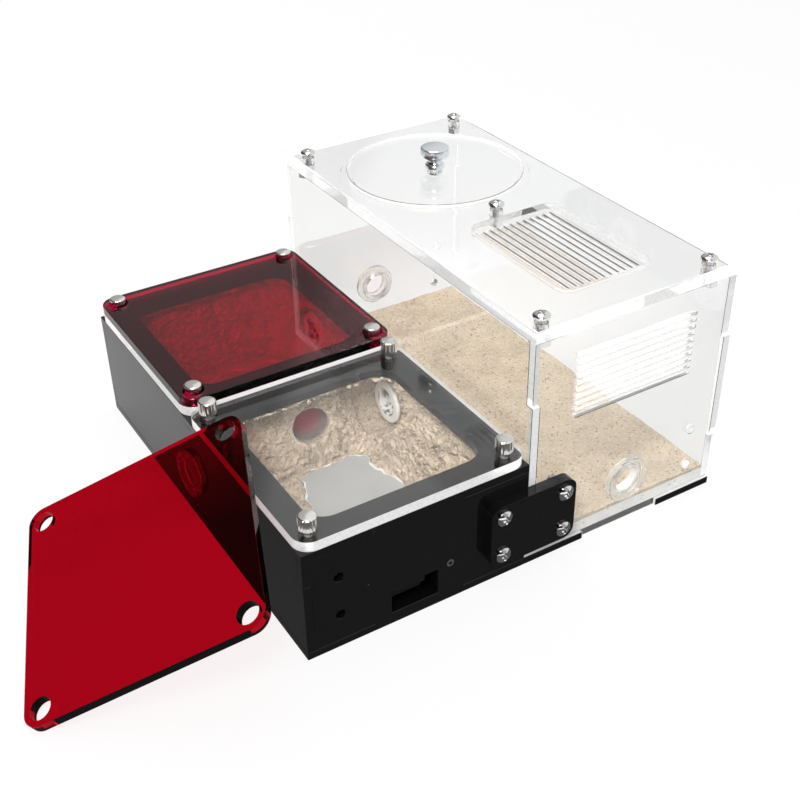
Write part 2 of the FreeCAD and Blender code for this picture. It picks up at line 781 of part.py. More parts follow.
# ---- the set of pieces ---------------------------------------------------------------------------------------
parts = {
    "nest_floor": nest_floor(),
    "nest_front_wall": nest_front_wall(),
    "nest_back_wall": nest_back_wall(),
    "nest_left_wall": nest_side_wall(0, [middle_port_y]),
    "nest_right_wall": nest_side_wall(nest_right_x, [middle_port_y, rear_port_y]),
    "nest_top_frame": nest_top_frame(),
    "screw_inserts_front": screw_inserts(front_screws),
    "screw_inserts_rear": screw_inserts(rear_screws),
    "lining_front": lining_front(),
    "lining_ridge": lining_ridge(),
    "lining_rear": lining_rear(),
    "moisture_tile_front": moisture_tile_front(),
    "moisture_tile_rear": moisture_tile_rear(),
    "nest_port_left": nest_port_left(),
    "link_bush_middle": link_bush(middle_port_y),
    "link_bush_rear": link_bush(rear_port_y),
    "link_collar_middle": link_collar(middle_port_y),
    "link_collar_rear": link_collar(rear_port_y),
    "slot_tray": slot_tray(),
    "probe_eyelet": probe_eyelet(),
    "clear_cover_front": clear_cover_front(),
    "clear_cover_rear": clear_cover_rear(),
    "red_cover_front": red_cover_front(),
    "red_cover_rear": red_cover_rear(),
    "foraging_base": foraging_base(),
    "foraging_front_wall": foraging_front_wall(),
    "foraging_back_wall": foraging_back_wall(),
    "foraging_left_wall": foraging_side_wall(box_left, [middle_port_y, rear_port_y]),
    "foraging_right_wall": foraging_side_wall(box_right_x, []),
    "foraging_bed": ground_layer(black_sheet, bed_thickness),
    "sand_layer": ground_layer(black_sheet + bed_thickness, sand_thickness),
    "foraging_port_front": foraging_port_front(),
    "foraging_port_back": foraging_port_back(),
    "foraging_lid": foraging_lid(),
    "vent_plate": vent_plate(),
    "disc_seat_ring": disc_seat_ring(),
    "disc_lid": disc_lid(),
    "disc_knob": disc_knob(),
    "knob_screw": knob_screw(),
    "lid_bolts": lid_bolts(),
    "lid_bushes": lid_bushes(),
    "lid_nuts": lid_nuts(),
    "joining_bracket_front": joining_bracket(-bracket_sheet),
    "joining_bracket_back": joining_bracket(nest_length),
    "bracket_screws_front": bracket_screws(-bracket_sheet, 1),
    "bracket_screws_back": bracket_screws(nest_length + bracket_sheet, -1),
    "bracket_nuts_front": bracket_nuts(0, 1),
    "bracket_nuts_back": bracket_nuts(nest_length, -1),
}
for number, place in enumerate(front_screws, start=1):
    parts[f"thumb_screw_front_{number}"] = thumb_screw(place)
for number, place in enumerate(rear_screws, start=1):
    parts[f"thumb_screw_rear_{number}"] = thumb_screw(place)

os.makedirs("parts", exist_ok=True)
for name, shape in parts.items():
    shape.exportStep(f"parts/{name}.step")
    print(name, len(shape.Solids), shape.isValid(), round(shape.Volume, 1))
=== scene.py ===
"""Dresses the ant habitat: a lined black nest block with clear and red covers, and a clear foraging box.

Metres, in the habitat's own frame: +X to the right, +Y to the back, +Z up.
"""

import json
import math
import random

import bmesh
import bpy
from mathutils import Matrix, Vector, noise


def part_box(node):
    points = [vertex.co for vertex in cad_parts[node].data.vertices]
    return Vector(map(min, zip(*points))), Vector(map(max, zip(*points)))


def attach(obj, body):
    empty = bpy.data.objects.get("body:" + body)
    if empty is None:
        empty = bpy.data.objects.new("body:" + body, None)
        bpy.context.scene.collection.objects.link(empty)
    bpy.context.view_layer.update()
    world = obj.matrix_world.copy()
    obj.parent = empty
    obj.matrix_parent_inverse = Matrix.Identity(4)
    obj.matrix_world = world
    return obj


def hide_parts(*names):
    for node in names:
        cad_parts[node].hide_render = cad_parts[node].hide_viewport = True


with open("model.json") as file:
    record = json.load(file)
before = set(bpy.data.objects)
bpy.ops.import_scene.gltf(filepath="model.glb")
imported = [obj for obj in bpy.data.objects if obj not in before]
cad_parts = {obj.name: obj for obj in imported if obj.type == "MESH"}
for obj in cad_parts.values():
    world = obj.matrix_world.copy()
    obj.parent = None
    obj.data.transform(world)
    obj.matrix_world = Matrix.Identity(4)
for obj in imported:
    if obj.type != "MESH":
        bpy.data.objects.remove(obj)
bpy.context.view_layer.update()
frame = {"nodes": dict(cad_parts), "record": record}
scene = bpy.context.scene
nodes = frame["nodes"]
MM = 0.001


def body_of(node):
    """The body that carries a node."""
    bodies = frame["record"]["behaviour"]["bodies"]
    return next(body for body, members in bodies.items() if node in members)


def slot_of(node):
    """The material slot that a node takes its finish from."""
    return next(s["material_slot"] for s in frame["record"]["subparts"] if s["node"] == node)


def box_of(node):
    """A node's low and high corners."""
    low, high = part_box(node)
    return Vector(low), Vector(high)


def put(name, data):
    """A new object in the scene, of a mesh, a lamp or a camera."""
    thing = bpy.data.objects.new(name, data)
    scene.collection.objects.link(thing)
    return thing


# ---- camera ----------------------------------------------
CAMERA_PLACE = Vector((-0.13633, -0.29600, 0.33710))
CAMERA_RIGHT = Vector((0.8512, -0.5246, -0.0144))
CAMERA_FORWARD = Vector((0.4273, 0.7089, -0.5611))
SENSOR_WIDTH = 36.0
FOCAL_PIXELS = 1218.5
FRAME_PIXELS = 800.0


def make_camera():
    """The studio camera, level and a little above the lid."""
    data = bpy.data.cameras.new("studio_camera")
    data.sensor_width = SENSOR_WIDTH
    data.lens = SENSOR_WIDTH * FOCAL_PIXELS / FRAME_PIXELS
    data.clip_start = 0.01
    data.clip_end = 50
    camera = put("studio_camera", data)
    back = -CAMERA_FORWARD.normalized()
    up = back.cross(CAMERA_RIGHT).normalized()
    right = up.cross(back)
    turn = Matrix((right, up, back)).transposed()
    camera.matrix_world = Matrix.Translation(CAMERA_PLACE) @ turn.to_4x4()
    scene.camera = camera


# ---- node helpers ----------------------------------------
class Tree:
    """A small helper that adds and links shader nodes."""

    def __init__(self, tree):
        self.tree = tree

    def add(self, kind, values=None, **settings):
        """A node of a kind, with its settings and its input values or links."""
        node = self.tree.nodes.new(kind)
        for name, value in settings.items():
            setattr(node, name, value)
        for key, value in (values or {}).items():
            self.feed(node.inputs[key], value)
        return node

    def feed(self, socket, value):
        """Links an output to a socket, or sets the socket's value."""
        if isinstance(value, bpy.types.NodeSocket):
            self.tree.links.new(value, socket)
        else:
            socket.default_value = value

    def fill(self, inputs, **values):
        """Feeds inputs by their names, with _ for each space."""
        for name, value in values.items():
            self.feed(inputs[name.replace("_", " ")], value)

    def math(self, operation, *values):
        """The result of a math node."""
        node = self.add("ShaderNodeMath", operation=operation)
        for socket, value in zip(node.inputs, values):
            self.feed(socket, value)
        return node.outputs[0]

    def ramp(self, factor, *stops):
        """A colour ramp's output, from (place, value or colour) stops."""
        node = self.add("ShaderNodeValToRGB", {"Fac": factor})
        elements = node.color_ramp.elements
        while len(elements) < len(stops):
            elements.new(0.5)
        for element, (place, colour) in zip(elements, stops):
            element.position = place
            element.color = (colour,) * 3 + (1,) if isinstance(colour, float) else colour
        return node.outputs["Color"]

    def mix(self, factor, first, second, blend="MIX"):
        """A mixed colour."""
        node = self.add("ShaderNodeMix", data_type="RGBA", blend_type=blend)
        colour_sockets = (node.inputs[0], node.inputs[6], node.inputs[7])
        for socket, value in zip(colour_sockets, (factor, first, second)):
            self.feed(socket, value)
        return node.outputs[2]

    def climb(self, value, start, end, low=0.0, high=1.0):
        """A straight climb from low to high, while a value goes from start to end."""
        node = self.add("ShaderNodeMapRange", {"Value": value})
        self.fill(node.inputs, From_Min=start, From_Max=end, To_Min=low, To_Max=high)
        return node.outputs["Result"]

    def place(self):
        """The place on the object that is shaded."""
        return self.add("ShaderNodeTexCoord").outputs["Object"]

    def noise(self, scale, detail=4.0, roughness=0.55, distortion=0.0):
        """Noise over the object's own coordinates, in grains per metre."""
        return self.add("ShaderNodeTexNoise", {
            "Vector": self.place(), "Scale": scale, "Detail": detail, "Roughness": roughness,
            "Distortion": distortion}).outputs["Fac"]


def new_group(name, inputs, outputs):
    """An empty shader group with named float or colour sockets, and its helper and ends."""
    group = bpy.data.node_groups.new(name, "ShaderNodeTree")
    for socket, value in inputs.items():
        kind = "NodeSocketFloat" if isinstance(value, float) else "NodeSocketColor"
        made = group.interface.new_socket(socket, in_out="INPUT", socket_type=kind)
        made.default_value = value
    for socket, kind in outputs.items():
        group.interface.new_socket(socket, in_out="OUTPUT", socket_type=kind)
    tree = Tree(group)
    return group, tree, tree.add("NodeGroupInput").outputs, tree.add("NodeGroupOutput").inputs


def place_group(tree, group, **values):
    """Places a group in a material with its own values, and gives its outputs."""
    node = tree.add("ShaderNodeGroup", node_tree=group)
    tree.fill(node.inputs, **values)
    return node.outputs


# ---- effects that several finishes share -----------------
def make_handling_group():
    """Fine dust and wipe marks of handled sheet: a roughness, and a mask of specks."""
    group, tree, given, out = new_group(
        "handling_marks", {"Base Roughness": 0.05, "Smear": 0.05, "Speck Share": 0.3},
        {"Roughness": "NodeSocketFloat", "Specks": "NodeSocketFloat"})
    smear = tree.noise(38.0, 5.0, 0.6, 0.8)
    wipe = tree.math("MULTIPLY", tree.math("SUBTRACT", smear, 0.45), given["Smear"])
    rough = tree.math("ADD", given["Base Roughness"], tree.math("MAXIMUM", wipe, 0.0))
    tree.feed(out["Roughness"], rough)
    cells = tree.add("ShaderNodeTexVoronoi", {"Vector": tree.place(), "Scale": 260.0})
    size = tree.math("MULTIPLY", cells.outputs["Color"], 0.09)
    near = tree.math("LESS_THAN", cells.outputs["Distance"], size)
    chosen = tree.math("LESS_THAN", tree.noise(900.0, 1.0), given["Speck Share"])
    tree.feed(out["Specks"], tree.math("MULTIPLY", near, chosen))
    return group


def make_grain_group():
    """Loose and cemented sand: grains with a colour and a height."""
    group, tree, given, out = new_group(
        "sand_grain",
        {"Pale": (0.8, 0.7, 0.56, 1), "Warm": (0.6, 0.45, 0.3, 1), "Dark": (0.2, 0.13, 0.08, 1),
         "Grains": 1400.0, "Dark Share": 0.05},
        {"Color": "NodeSocketColor", "Height": "NodeSocketFloat"})
    fine = tree.add("ShaderNodeTexVoronoi", {"Vector": tree.place(), "Scale": given["Grains"]})
    shade = tree.add("ShaderNodeSeparateColor", {"Color": fine.outputs["Color"]})
    grain = tree.mix(shade.outputs["Red"], given["Pale"], given["Warm"])
    dark = tree.math("LESS_THAN", shade.outputs["Green"], given["Dark Share"])
    grain = tree.mix(dark, grain, given["Dark"])
    patch = tree.ramp(tree.noise(70.0, 6.0, 0.6), (0.35, 0.84), (0.65, 1.0))
    tree.feed(out["Color"], tree.mix(1.0, grain, patch, "MULTIPLY"))
    tree.feed(out["Height"], tree.math("SUBTRACT", 1.0, fine.outputs["Distance"]))
    return group


def make_brushed_group():
    """The soft grain that brushing leaves under plated metal: a roughness."""
    group, tree, given, out = new_group(
        "brushed_grain", {"Base Roughness": 0.05, "Grain Depth": 0.06}, {"Roughness": "NodeSocketFloat"})
    grain = tree.noise(1500.0, 3.0)
    rough = tree.math("MULTIPLY_ADD", grain, given["Grain Depth"], given["Base Roughness"])
    tree.feed(out["Roughness"], rough)
    return group


def make_mottle_group(name, scale, start, end, first, second):
    """A fine mottle between two colours, such as turning and laser cutting leave: a colour."""
    colours = {"First": first, "Second": second}
    group, tree, given, out = new_group(name, colours, {"Color": "NodeSocketColor"})
    mottle = tree.ramp(tree.noise(scale, 3.0), (start, 0.0), (end, 1.0))
    tree.feed(out["Color"], tree.mix(mottle, given["First"], given["Second"]))
    return group


# ---- finishes --------------------------------------------
WHITE = (1, 1, 1, 1)
ACRYLIC_BEND = 1.49
BONDED_BEND = 1.03  # sheet that is bonded to sheet hardly bends what is seen through it
CLEAR_TINT = (0.965, 0.97, 0.968, 1)
CLEAR_LAMP_TINT = (0.985, 0.985, 0.985, 1)
TURNED_LAMP_TINT = (0.95, 0.95, 0.95, 1)
TUMBLED_LAMP_TINT = (0.8, 0.8, 0.8, 1)
RED_TINT = (0.42, 0.0012, 0.045, 1)
# the leaning red cover's tint and its lamp tint below are a darker copy of the red sheet's: painted shade,
# for the shade behind and under that cover
SHADED_RED_TINT = (0.4, 0.0008, 0.009, 1)
RED_LAMP_TINT = (1.0, 0.05, 0.4, 1)
SHADED_RED_LAMP_TINT = (0.5, 0.02, 0.04, 1)
BLACK = (0.004, 0.0042, 0.0045, 1)
DUST = (0.2, 0.2, 0.19, 1)
CLOUD_COLOURS = ((0.93, 0.91, 0.87, 1), (0.98, 0.97, 0.95, 1))
CUT_COLOURS = ((0.8, 0.81, 0.81, 1), (0.95, 0.95, 0.95, 1))
# finish, material, colour and roughness of each metal
METAL_FINISHES = (("knurled_nickel", "knurled_nickel", (0.93, 0.91, 0.87, 1), 0.15),
                  ("satin_knob", "satin_knob", (0.82, 0.86, 0.89, 1), 0.16),
                  ("nickel", "bright_nickel", (0.86, 0.84, 0.8, 1), 0.03),
                  ("bright_steel", "bright_zinc", (0.8, 0.8, 0.81, 1), 0.04),
                  ("brass_insert", "blackened_brass", (0.05, 0.045, 0.04, 1), 0.3))
# pale, warm and dark grains
LINING_GRAINS = ((0.86, 0.755, 0.63, 1), (0.76, 0.64, 0.505, 1), (0.38, 0.3, 0.23, 1))
PLASTER_GRAINS = ((0.86, 0.85, 0.83, 1), (0.8, 0.78, 0.75, 1), (0.7, 0.67, 0.62, 1))
BED_GRAINS = ((0.94, 0.93, 0.91, 1), (0.88, 0.86, 0.83, 1), (0.7, 0.66, 0.6, 1))
SAND_GRAINS = ((0.74, 0.635, 0.5, 1), (0.61, 0.48, 0.35, 1), (0.36, 0.26, 0.18, 1))
# stops of painted shade from the pits to the tops of the lining, and of painted shade turning to painted
# red light from the tunnel's mouth inwards
PIT_SHADE_STOPS = ((0.2, (0.76, 0.72, 0.68, 1)), (0.5, (0.95, 0.94, 0.93, 1)), (0.8, (1.0, 1.0, 1.0, 1)))
CREVICE_SHADE_STOPS = ((0.15, (0.82, 0.78, 0.74, 1)), (0.4, (1.0, 1.0, 1.0, 1)))
TUNNEL_SHADE_AND_RED_LIGHT_STOPS = ((0.3, (0.2, 0.155, 0.14, 1)), (0.75, (0.42, 0.05, 0.07, 1)))
STRINGS_CALMED = -0.85  # how much of the strings' bump goes in the tunnel


def bare_material(name):
    """An empty node material, with its helper and its surface socket."""
    material = bpy.data.materials.new(name)
    material.use_nodes = True
    material.node_tree.nodes.clear()
    tree = Tree(material.node_tree)
    return material, tree, tree.add("ShaderNodeOutputMaterial").inputs["Surface"]


def new_material(name):
    """A material with a shader: the material, its helper, the shader's inputs and the surface socket."""
    material, tree, surface = bare_material(name)
    shader = tree.add("ShaderNodeBsdfPrincipled")
    tree.feed(surface, shader.outputs["BSDF"])
    return material, tree, shader.inputs, surface


def let_lamps_through(tree, surface, tint):
    """Lamps shine through see-through sheet, tinted as it is."""
    shader = surface.links[0].from_socket
    clear = tree.add("ShaderNodeBsdfTransparent", {"Color": tint})
    ray = tree.add("ShaderNodeLightPath").outputs["Is Shadow Ray"]
    mixed = tree.add("ShaderNodeMixShader", {0: ray, 1: shader, 2: clear.outputs["BSDF"]})
    tree.feed(surface, mixed.outputs["Shader"])


def see_through(name, tint, lamp_tint, handling, smear, bend=ACRYLIC_BEND):
    """Polished see-through acrylic sheet."""
    material, tree, shader, surface = new_material(name)
    marks = place_group(tree, handling, Base_Roughness=0.0, Smear=smear, Speck_Share=0.2)
    tree.fill(shader, Base_Color=tint, Roughness=marks["Roughness"], IOR=bend, Transmission_Weight=1.0)
    let_lamps_through(tree, surface, lamp_tint)
    return material


def cut_edge(name, cut_group, milk, glow):
    """A laser-cut edge of clear sheet: milky, with fine marks, and a faint painted glow in place of the
    light that the sheet carries to its edge.
    """
    material, tree, shader, _ = new_material(name)
    marks = place_group(tree, cut_group)["Color"]
    tree.fill(shader, Base_Color=marks, Roughness=0.12, IOR=ACRYLIC_BEND, Alpha=milk)
    tree.fill(shader, Emission_Color=WHITE, Emission_Strength=glow)
    return material


def turned_clear(name, cloud_group, clearness, lamp_tint):
    """Turned and tumbled clear acrylic, a little milky."""
    material, tree, shader, surface = new_material(name)
    cloud = place_group(tree, cloud_group)["Color"]
    tree.fill(shader, Base_Color=cloud, Roughness=0.08, IOR=ACRYLIC_BEND, Transmission_Weight=clearness)
    let_lamps_through(tree, surface, lamp_tint)
    return material


def tube_bore():
    """The drilled bore of a link tube, with bright and dark painted reflections streaked round it."""
    material, tree, shader, _ = new_material("tube_bore")
    drawn = tree.add("ShaderNodeMapping", {"Vector": tree.place(), "Scale": (1.0, 1.0, 0.1)}).outputs
    band = tree.add("ShaderNodeTexNoise", {"Vector": drawn["Vector"], "Scale": 480.0, "Detail": 1.0})
    painted_reflections = tree.ramp(band.outputs["Fac"], (0.42, (0.2, 0.2, 0.2, 1)), (0.56, (0.88, 0.86, 0.82, 1)))
    tree.fill(shader, Base_Color=painted_reflections, Roughness=0.12)
    return material


def painted_slot_shade():
    """A dark line painted along one side of a narrow slot: painted shade, in place of the shade inside the
    slot.
    """
    material, tree, shader, _ = new_material("painted_slot_shade")
    slot_shade = tree.ramp(tree.noise(900.0, 3.0), (0.35, (0.09, 0.09, 0.09, 1)), (0.65, (0.2, 0.2, 0.195, 1)))
    tree.fill(shader, Base_Color=slot_shade, Roughness=0.3)
    return material


def black_sheet(handling):
    """Polished black acrylic sheet with fine dust."""
    material, tree, shader, _ = new_material("polished_black_sheet")
    marks = place_group(tree, handling, Base_Roughness=0.04, Smear=0.12, Speck_Share=0.34)
    dusty = tree.mix(marks["Specks"], BLACK, DUST)
    tree.fill(shader, Base_Color=dusty, Roughness=marks["Roughness"], IOR=ACRYLIC_BEND)
    return material


def plated_metal(name, brushed_group, colour, roughness):
    """Bright plated metal with a soft brushed grain."""
    material, tree, shader, _ = new_material(name)
    brushed = place_group(tree, brushed_group, Base_Roughness=roughness)
    tree.fill(shader, Base_Color=colour, Metallic=1.0, Roughness=brushed["Roughness"])
    return material


def grainy(name, grain_group, colours, grains, dark_share, bump):
    """A surface of sand grains in a pale, a warm and a dark colour, so many to a metre."""
    material, tree, shader, _ = new_material(name)
    pale, warm, dark = colours
    grain = place_group(tree, grain_group, Pale=pale, Warm=warm, Dark=dark, Grains=grains,
                        Dark_Share=dark_share)
    height = tree.add("ShaderNodeBump", {"Height": grain["Height"], "Strength": bump, "Distance": 0.0004})
    tree.fill(shader, Base_Color=grain["Color"], Roughness=0.85, Normal=height.outputs["Normal"])
    return material, tree, shader, grain


def sanded_lining(grain_group):
    """The cast lining: trowelled crumbs with painted shade in their pits and creases, and in the tunnel
    painted dark shade turning to painted red light deeper in.
    """
    material, tree, shader, grain = grainy(
        "sanded_lining", grain_group, LINING_GRAINS, grains=1500.0, dark_share=0.018, bump=0.8)
    strings = tree.add("ShaderNodeTexNoise", {
        "Vector": tree.place(), "Scale": 480.0, "Detail": 3.0, "Roughness": 0.6, "Lacunarity": 2.1,
        "Distortion": 0.9}, noise_type="RIDGED_MULTIFRACTAL", normalize=True).outputs["Fac"]
    crumbs = tree.add("ShaderNodeBump", {"Height": strings, "Strength": 1.0, "Distance": 0.0016})
    bump = shader["Normal"].links[0].from_node
    tree.feed(bump.inputs["Normal"], crumbs.outputs["Normal"])
    relief = tree.add("ShaderNodeAttribute", attribute_name="relief").outputs["Fac"]
    # painted shade in the crumbs' pits and in the creases between their strings
    pit_shaded = tree.mix(1.0, grain["Color"], tree.ramp(relief, *PIT_SHADE_STOPS), "MULTIPLY")
    crevice_shaded = tree.mix(1.0, pit_shaded, tree.ramp(strings, *CREVICE_SHADE_STOPS), "MULTIPLY")
    depth = tree.add("ShaderNodeAttribute", attribute_name="tunnel").outputs["Fac"]
    inside = tree.ramp(depth, (0.0, 0.0), (0.14, 1.0))
    tree.feed(shader["Base Color"], tree.mix(inside, crevice_shaded, tree.ramp(depth, *TUNNEL_SHADE_AND_RED_LIGHT_STOPS)))
    tree.feed(crumbs.inputs["Strength"], tree.math("MULTIPLY_ADD", inside, STRINGS_CALMED, 1.0))
    return material


def cast_tile():
    """Smooth pale cast tile, a little mottled."""
    material, tree, shader, _ = new_material("smooth_cast_tile")
    cloud = tree.ramp(tree.noise(45.0, 5.0), (0.3, (0.36, 0.36, 0.348, 1)), (0.7, (0.41, 0.41, 0.397, 1)))
    tree.fill(shader, Base_Color=cloud, Roughness=0.5)
    return material


def make_finishes():
    """Every finish of the object, by its material slot or its place."""
    handling = make_handling_group()
    grain = make_grain_group()
    brushed = make_brushed_group()
    cloud = make_mottle_group("tumbled_cloud", 300.0, 0.3, 0.7, *CLOUD_COLOURS)
    cut = make_mottle_group("cut_marks", 700.0, 0.35, 0.6, *CUT_COLOURS)
    metals = {finish: plated_metal(name, brushed, *look) for finish, name, *look in METAL_FINISHES}
    return metals | {
        "black_acrylic": black_sheet(handling),
        "clear_acrylic": see_through("clear_sheet", CLEAR_TINT, CLEAR_LAMP_TINT, handling, smear=0.01),
        # all three cut edges glow a little: painted light, in place of the light that the sheets carry to
        # their edges
        "cut_edge": cut_edge("cut_clear_edge", cut, milk=0.62, glow=0.36),
        "inner_cut": cut_edge("inner_clear_cut", cut, milk=0.2, glow=0.16),
        "slot_cut": cut_edge("milky_slot_cut", cut, milk=0.32, glow=0.26),
        "turned_clear": turned_clear("turned_clear", cloud, 0.85, TURNED_LAMP_TINT),
        "tumbled_clear": turned_clear("tumbled_clear", cloud, 0.08, TUMBLED_LAMP_TINT),
        "bonded_clear": see_through("bonded_clear", WHITE, WHITE, handling, smear=0.0, bend=BONDED_BEND),
        "painted_slot_shade": painted_slot_shade(),
        "tube_bore": tube_bore(),
        "red_acrylic": see_through("red_sheet", RED_TINT, RED_LAMP_TINT, handling, smear=0.02),
        "shaded_red_acrylic": see_through(
            "shaded_red_sheet", SHADED_RED_TINT, SHADED_RED_LAMP_TINT, handling, smear=0.02),
        "cast_lining": sanded_lining(grain),
        "moisture_tile": cast_tile(),
        "plaster": grainy(
            "plaster_fringe", grain, PLASTER_GRAINS, grains=1200.0, dark_share=0.02, bump=0.4)[0],
        "bed_plaster": grainy("cast_bed", grain, BED_GRAINS, grains=900.0, dark_share=0.02, bump=0.3)[0],
        "sand": grainy("loose_sand", grain, SAND_GRAINS, grains=1250.0, dark_share=0.035, bump=1.0)[0],
    }


# ---- studio ----------------------------------------------
FLOOR_REACH = 4.0
FLOOR_GAP = 0.0002  # the floor lies this much below the habitat
FLOOR_WHITE = (0.9, 0.9, 0.9, 1)
FLOOR_GLOW = 0.86  # share of plain white in the floor that the camera sees
FLOOR_GLOW_THROUGH_SHEET = 0.45  # the same share, seen through clear sheet
DARK_FOREGROUND = 0.11  # brightness of the dark strip of floor that mirrored rays see
STRIP_FRONT = (-0.14, -0.1)  # where the strip starts and where it is whole
STRIP_BACK = (0.09, 0.15)  # where the strip starts to fade under the habitat and where it has faded
FLOOR_DULLING = 0.35  # share of the strip's dark that stays in the floor behind it
AMBIENT = 0.55  # strength of the soft light from all round
# how steeply a ray through clear sheet rises where it starts to see the ceiling, and where it sees it whole
HORIZON = (0.02, 0.12)
CEILING_TILT = 1.5  # the ceiling brightens this many times faster to the right than upwards
CEILING_SPAN = 0.5
CEILING_STOPS = ((0.0, 0.02), (0.06, 0.06), (0.22, 0.36), (0.532, 0.43), (0.546, 0.74), (0.61, 0.8),
                 (0.75, 0.8))


def floor_finish():
    """Pale matt floor. Mirrored rays see a dark strip of it in front of the habitat and under it."""
    material, tree, surface = bare_material("studio_floor")
    path = tree.add("ShaderNodeLightPath").outputs
    plain = tree.math("MAXIMUM", path["Is Camera Ray"], path["Is Transmission Ray"])
    depth = tree.add("ShaderNodeSeparateXYZ", {0: tree.place()}).outputs["Y"]
    fading = tree.climb(depth, *STRIP_BACK, 1.0, FLOOR_DULLING)
    strip = tree.math("MULTIPLY", fading, tree.climb(depth, *STRIP_FRONT))
    mirrored = tree.math("MULTIPLY", path["Is Glossy Ray"], strip)
    strength = tree.math("MULTIPLY_ADD", plain, 1.0 - DARK_FOREGROUND, DARK_FOREGROUND)
    lit = tree.add("ShaderNodeEmission", {"Color": WHITE, "Strength": strength}).outputs["Emission"]
    matt = tree.add("ShaderNodeBsdfDiffuse", {"Color": FLOOR_WHITE}).outputs["BSDF"]
    glow = tree.math("MAXIMUM", tree.math("MULTIPLY", path["Is Camera Ray"], FLOOR_GLOW),
                     tree.math("MULTIPLY", path["Is Transmission Ray"], FLOOR_GLOW_THROUGH_SHEET))
    factor = tree.math("MAXIMUM", glow, mirrored)
    tree.feed(surface, tree.add("ShaderNodeMixShader", {0: factor, 1: matt, 2: lit}).outputs[0])
    return material


def make_floor():
    """The plain pale floor that the habitat stands on."""
    mesh = bpy.data.meshes.new("studio_floor")
    corners = [Vector((x, y, 0)) * FLOOR_REACH for x, y in ((-1, -1), (1, -1), (1, 1), (-1, 1))]
    mesh.from_pydata(corners, [], [(0, 1, 2, 3)])
    mesh.materials.append(floor_finish())
    floor = put("studio_floor", mesh)
    floor.location.z = -FLOOR_GAP


def make_world():
    """Soft light from all round. Reflections see a dark horizon under a bright ceiling."""
    world = bpy.data.worlds.new("studio_world")
    scene.world = world
    world.use_nodes = True
    tree = Tree(world.node_tree)
    back = world.node_tree.nodes["Background"]
    path = tree.add("ShaderNodeLightPath").outputs
    direction = tree.add("ShaderNodeSeparateXYZ", {0: tree.add("ShaderNodeTexCoord").outputs["Generated"]})
    up = direction.outputs["Z"]
    toward = tree.math("MULTIPLY_ADD", direction.outputs["X"], CEILING_TILT, up)
    ceiling = tree.ramp(tree.math("MULTIPLY", toward, CEILING_SPAN), *CEILING_STOPS)
    above = tree.climb(up, *HORIZON)
    through = path["Is Transmission Ray"]
    scattered = tree.math("MULTIPLY", through, tree.math("GREATER_THAN", path["Diffuse Depth"], 0.5))
    lit = tree.math("MULTIPLY", tree.math("MAXIMUM", path["Is Diffuse Ray"], scattered), AMBIENT)
    mirrored = tree.math("MAXIMUM", path["Is Glossy Ray"], tree.math("MULTIPLY", through, above))
    mirrored = tree.math("MULTIPLY", mirrored, ceiling)
    below = tree.math("MULTIPLY", through, tree.math("SUBTRACT", 1.0, above))
    seen = tree.math("MAXIMUM", path["Is Camera Ray"], below)
    strength = tree.math("MAXIMUM", tree.math("MAXIMUM", lit, mirrored), seen)
    tree.feed(back.inputs["Color"], WHITE)
    tree.feed(back.inputs["Strength"], strength)


LAMP_AIM = Vector((0.1, 0.1, 0.05))


def make_lamp(name, place, size, power):
    """A square soft box that faces the habitat."""
    data = bpy.data.lights.new(name, "AREA")
    data.size = size
    data.energy = power
    lamp = put(name, data)
    lamp.location = place
    lamp.rotation_euler = (LAMP_AIM - Vector(place)).to_track_quat("-Z", "Y").to_euler()
    return lamp


def make_lamps():
    """Soft boxes overhead, behind and at the front left. The one behind stays out of mirrored rays."""
    make_lamp("top_box", place=(0.0, 0.2, 1.4), size=0.8, power=3.5)
    make_lamp("key_box", place=(-0.6, -0.7, 1.3), size=0.45, power=14.0)
    back_box = make_lamp("back_box", place=(0.05, 1.3, 1.05), size=0.6, power=5.0)
    back_box.visible_glossy = False


# ---- pieces ----------------------------------------------
def new_piece(name, mesh, body, slot, *replaced):
    """Puts a mesh in the scene as a piece that rides on a body and stands for CAD nodes."""
    piece = put(name, mesh)
    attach(piece, body)
    if replaced:
        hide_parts(*replaced)


WELD = 0.001 * MM
SHARP_ANGLE = math.radians(25)
FLAT_ANGLE = math.radians(0.5)
AIR_FILM = 0.02 * MM  # half of the air that stays between two sheets that lie on each other


def welded_shape(node):
    """A node's shape, with the corners that its faces share made one."""
    shape = bmesh.new()
    shape.from_mesh(nodes[node].data)
    bmesh.ops.remove_doubles(shape, verts=shape.verts, dist=WELD)
    return shape


def mesh_of(shape, name):
    """The mesh of a finished shape."""
    mesh = bpy.data.meshes.new(name)
    shape.to_mesh(mesh)
    shape.free()
    return mesh


def shade_smooth(mesh):
    """Shades every face of a mesh smooth."""
    mesh.polygons.foreach_set("use_smooth", [True] * len(mesh.polygons))


def skin(shape, loops, closed=False):
    """Faces from each loop of corners to the next, and from the last to the first where closed."""
    following = loops[1:] + loops[:1] if closed else loops[1:]
    for lower, upper in zip(loops, following):
        for k in range(len(lower)):
            n = (k + 1) % len(lower)
            shape.faces.new((lower[k], lower[n], upper[n], upper[k]))


def upright_loop(shape, middle, out, radius, sides):
    """Corners round a bead's section, in the upright plane through out."""
    angles = [math.tau * k / sides for k in range(sides)]
    return [shape.verts.new(middle + out * radius * math.cos(a) + Vector((0, 0, radius * math.sin(a))))
            for a in angles]


SHEET_BREAK = 0.18 * MM
METAL_BREAK = 0.08 * MM
PORT_BREAK = 0.5 * MM
RING_BREAK = 0.7 * MM


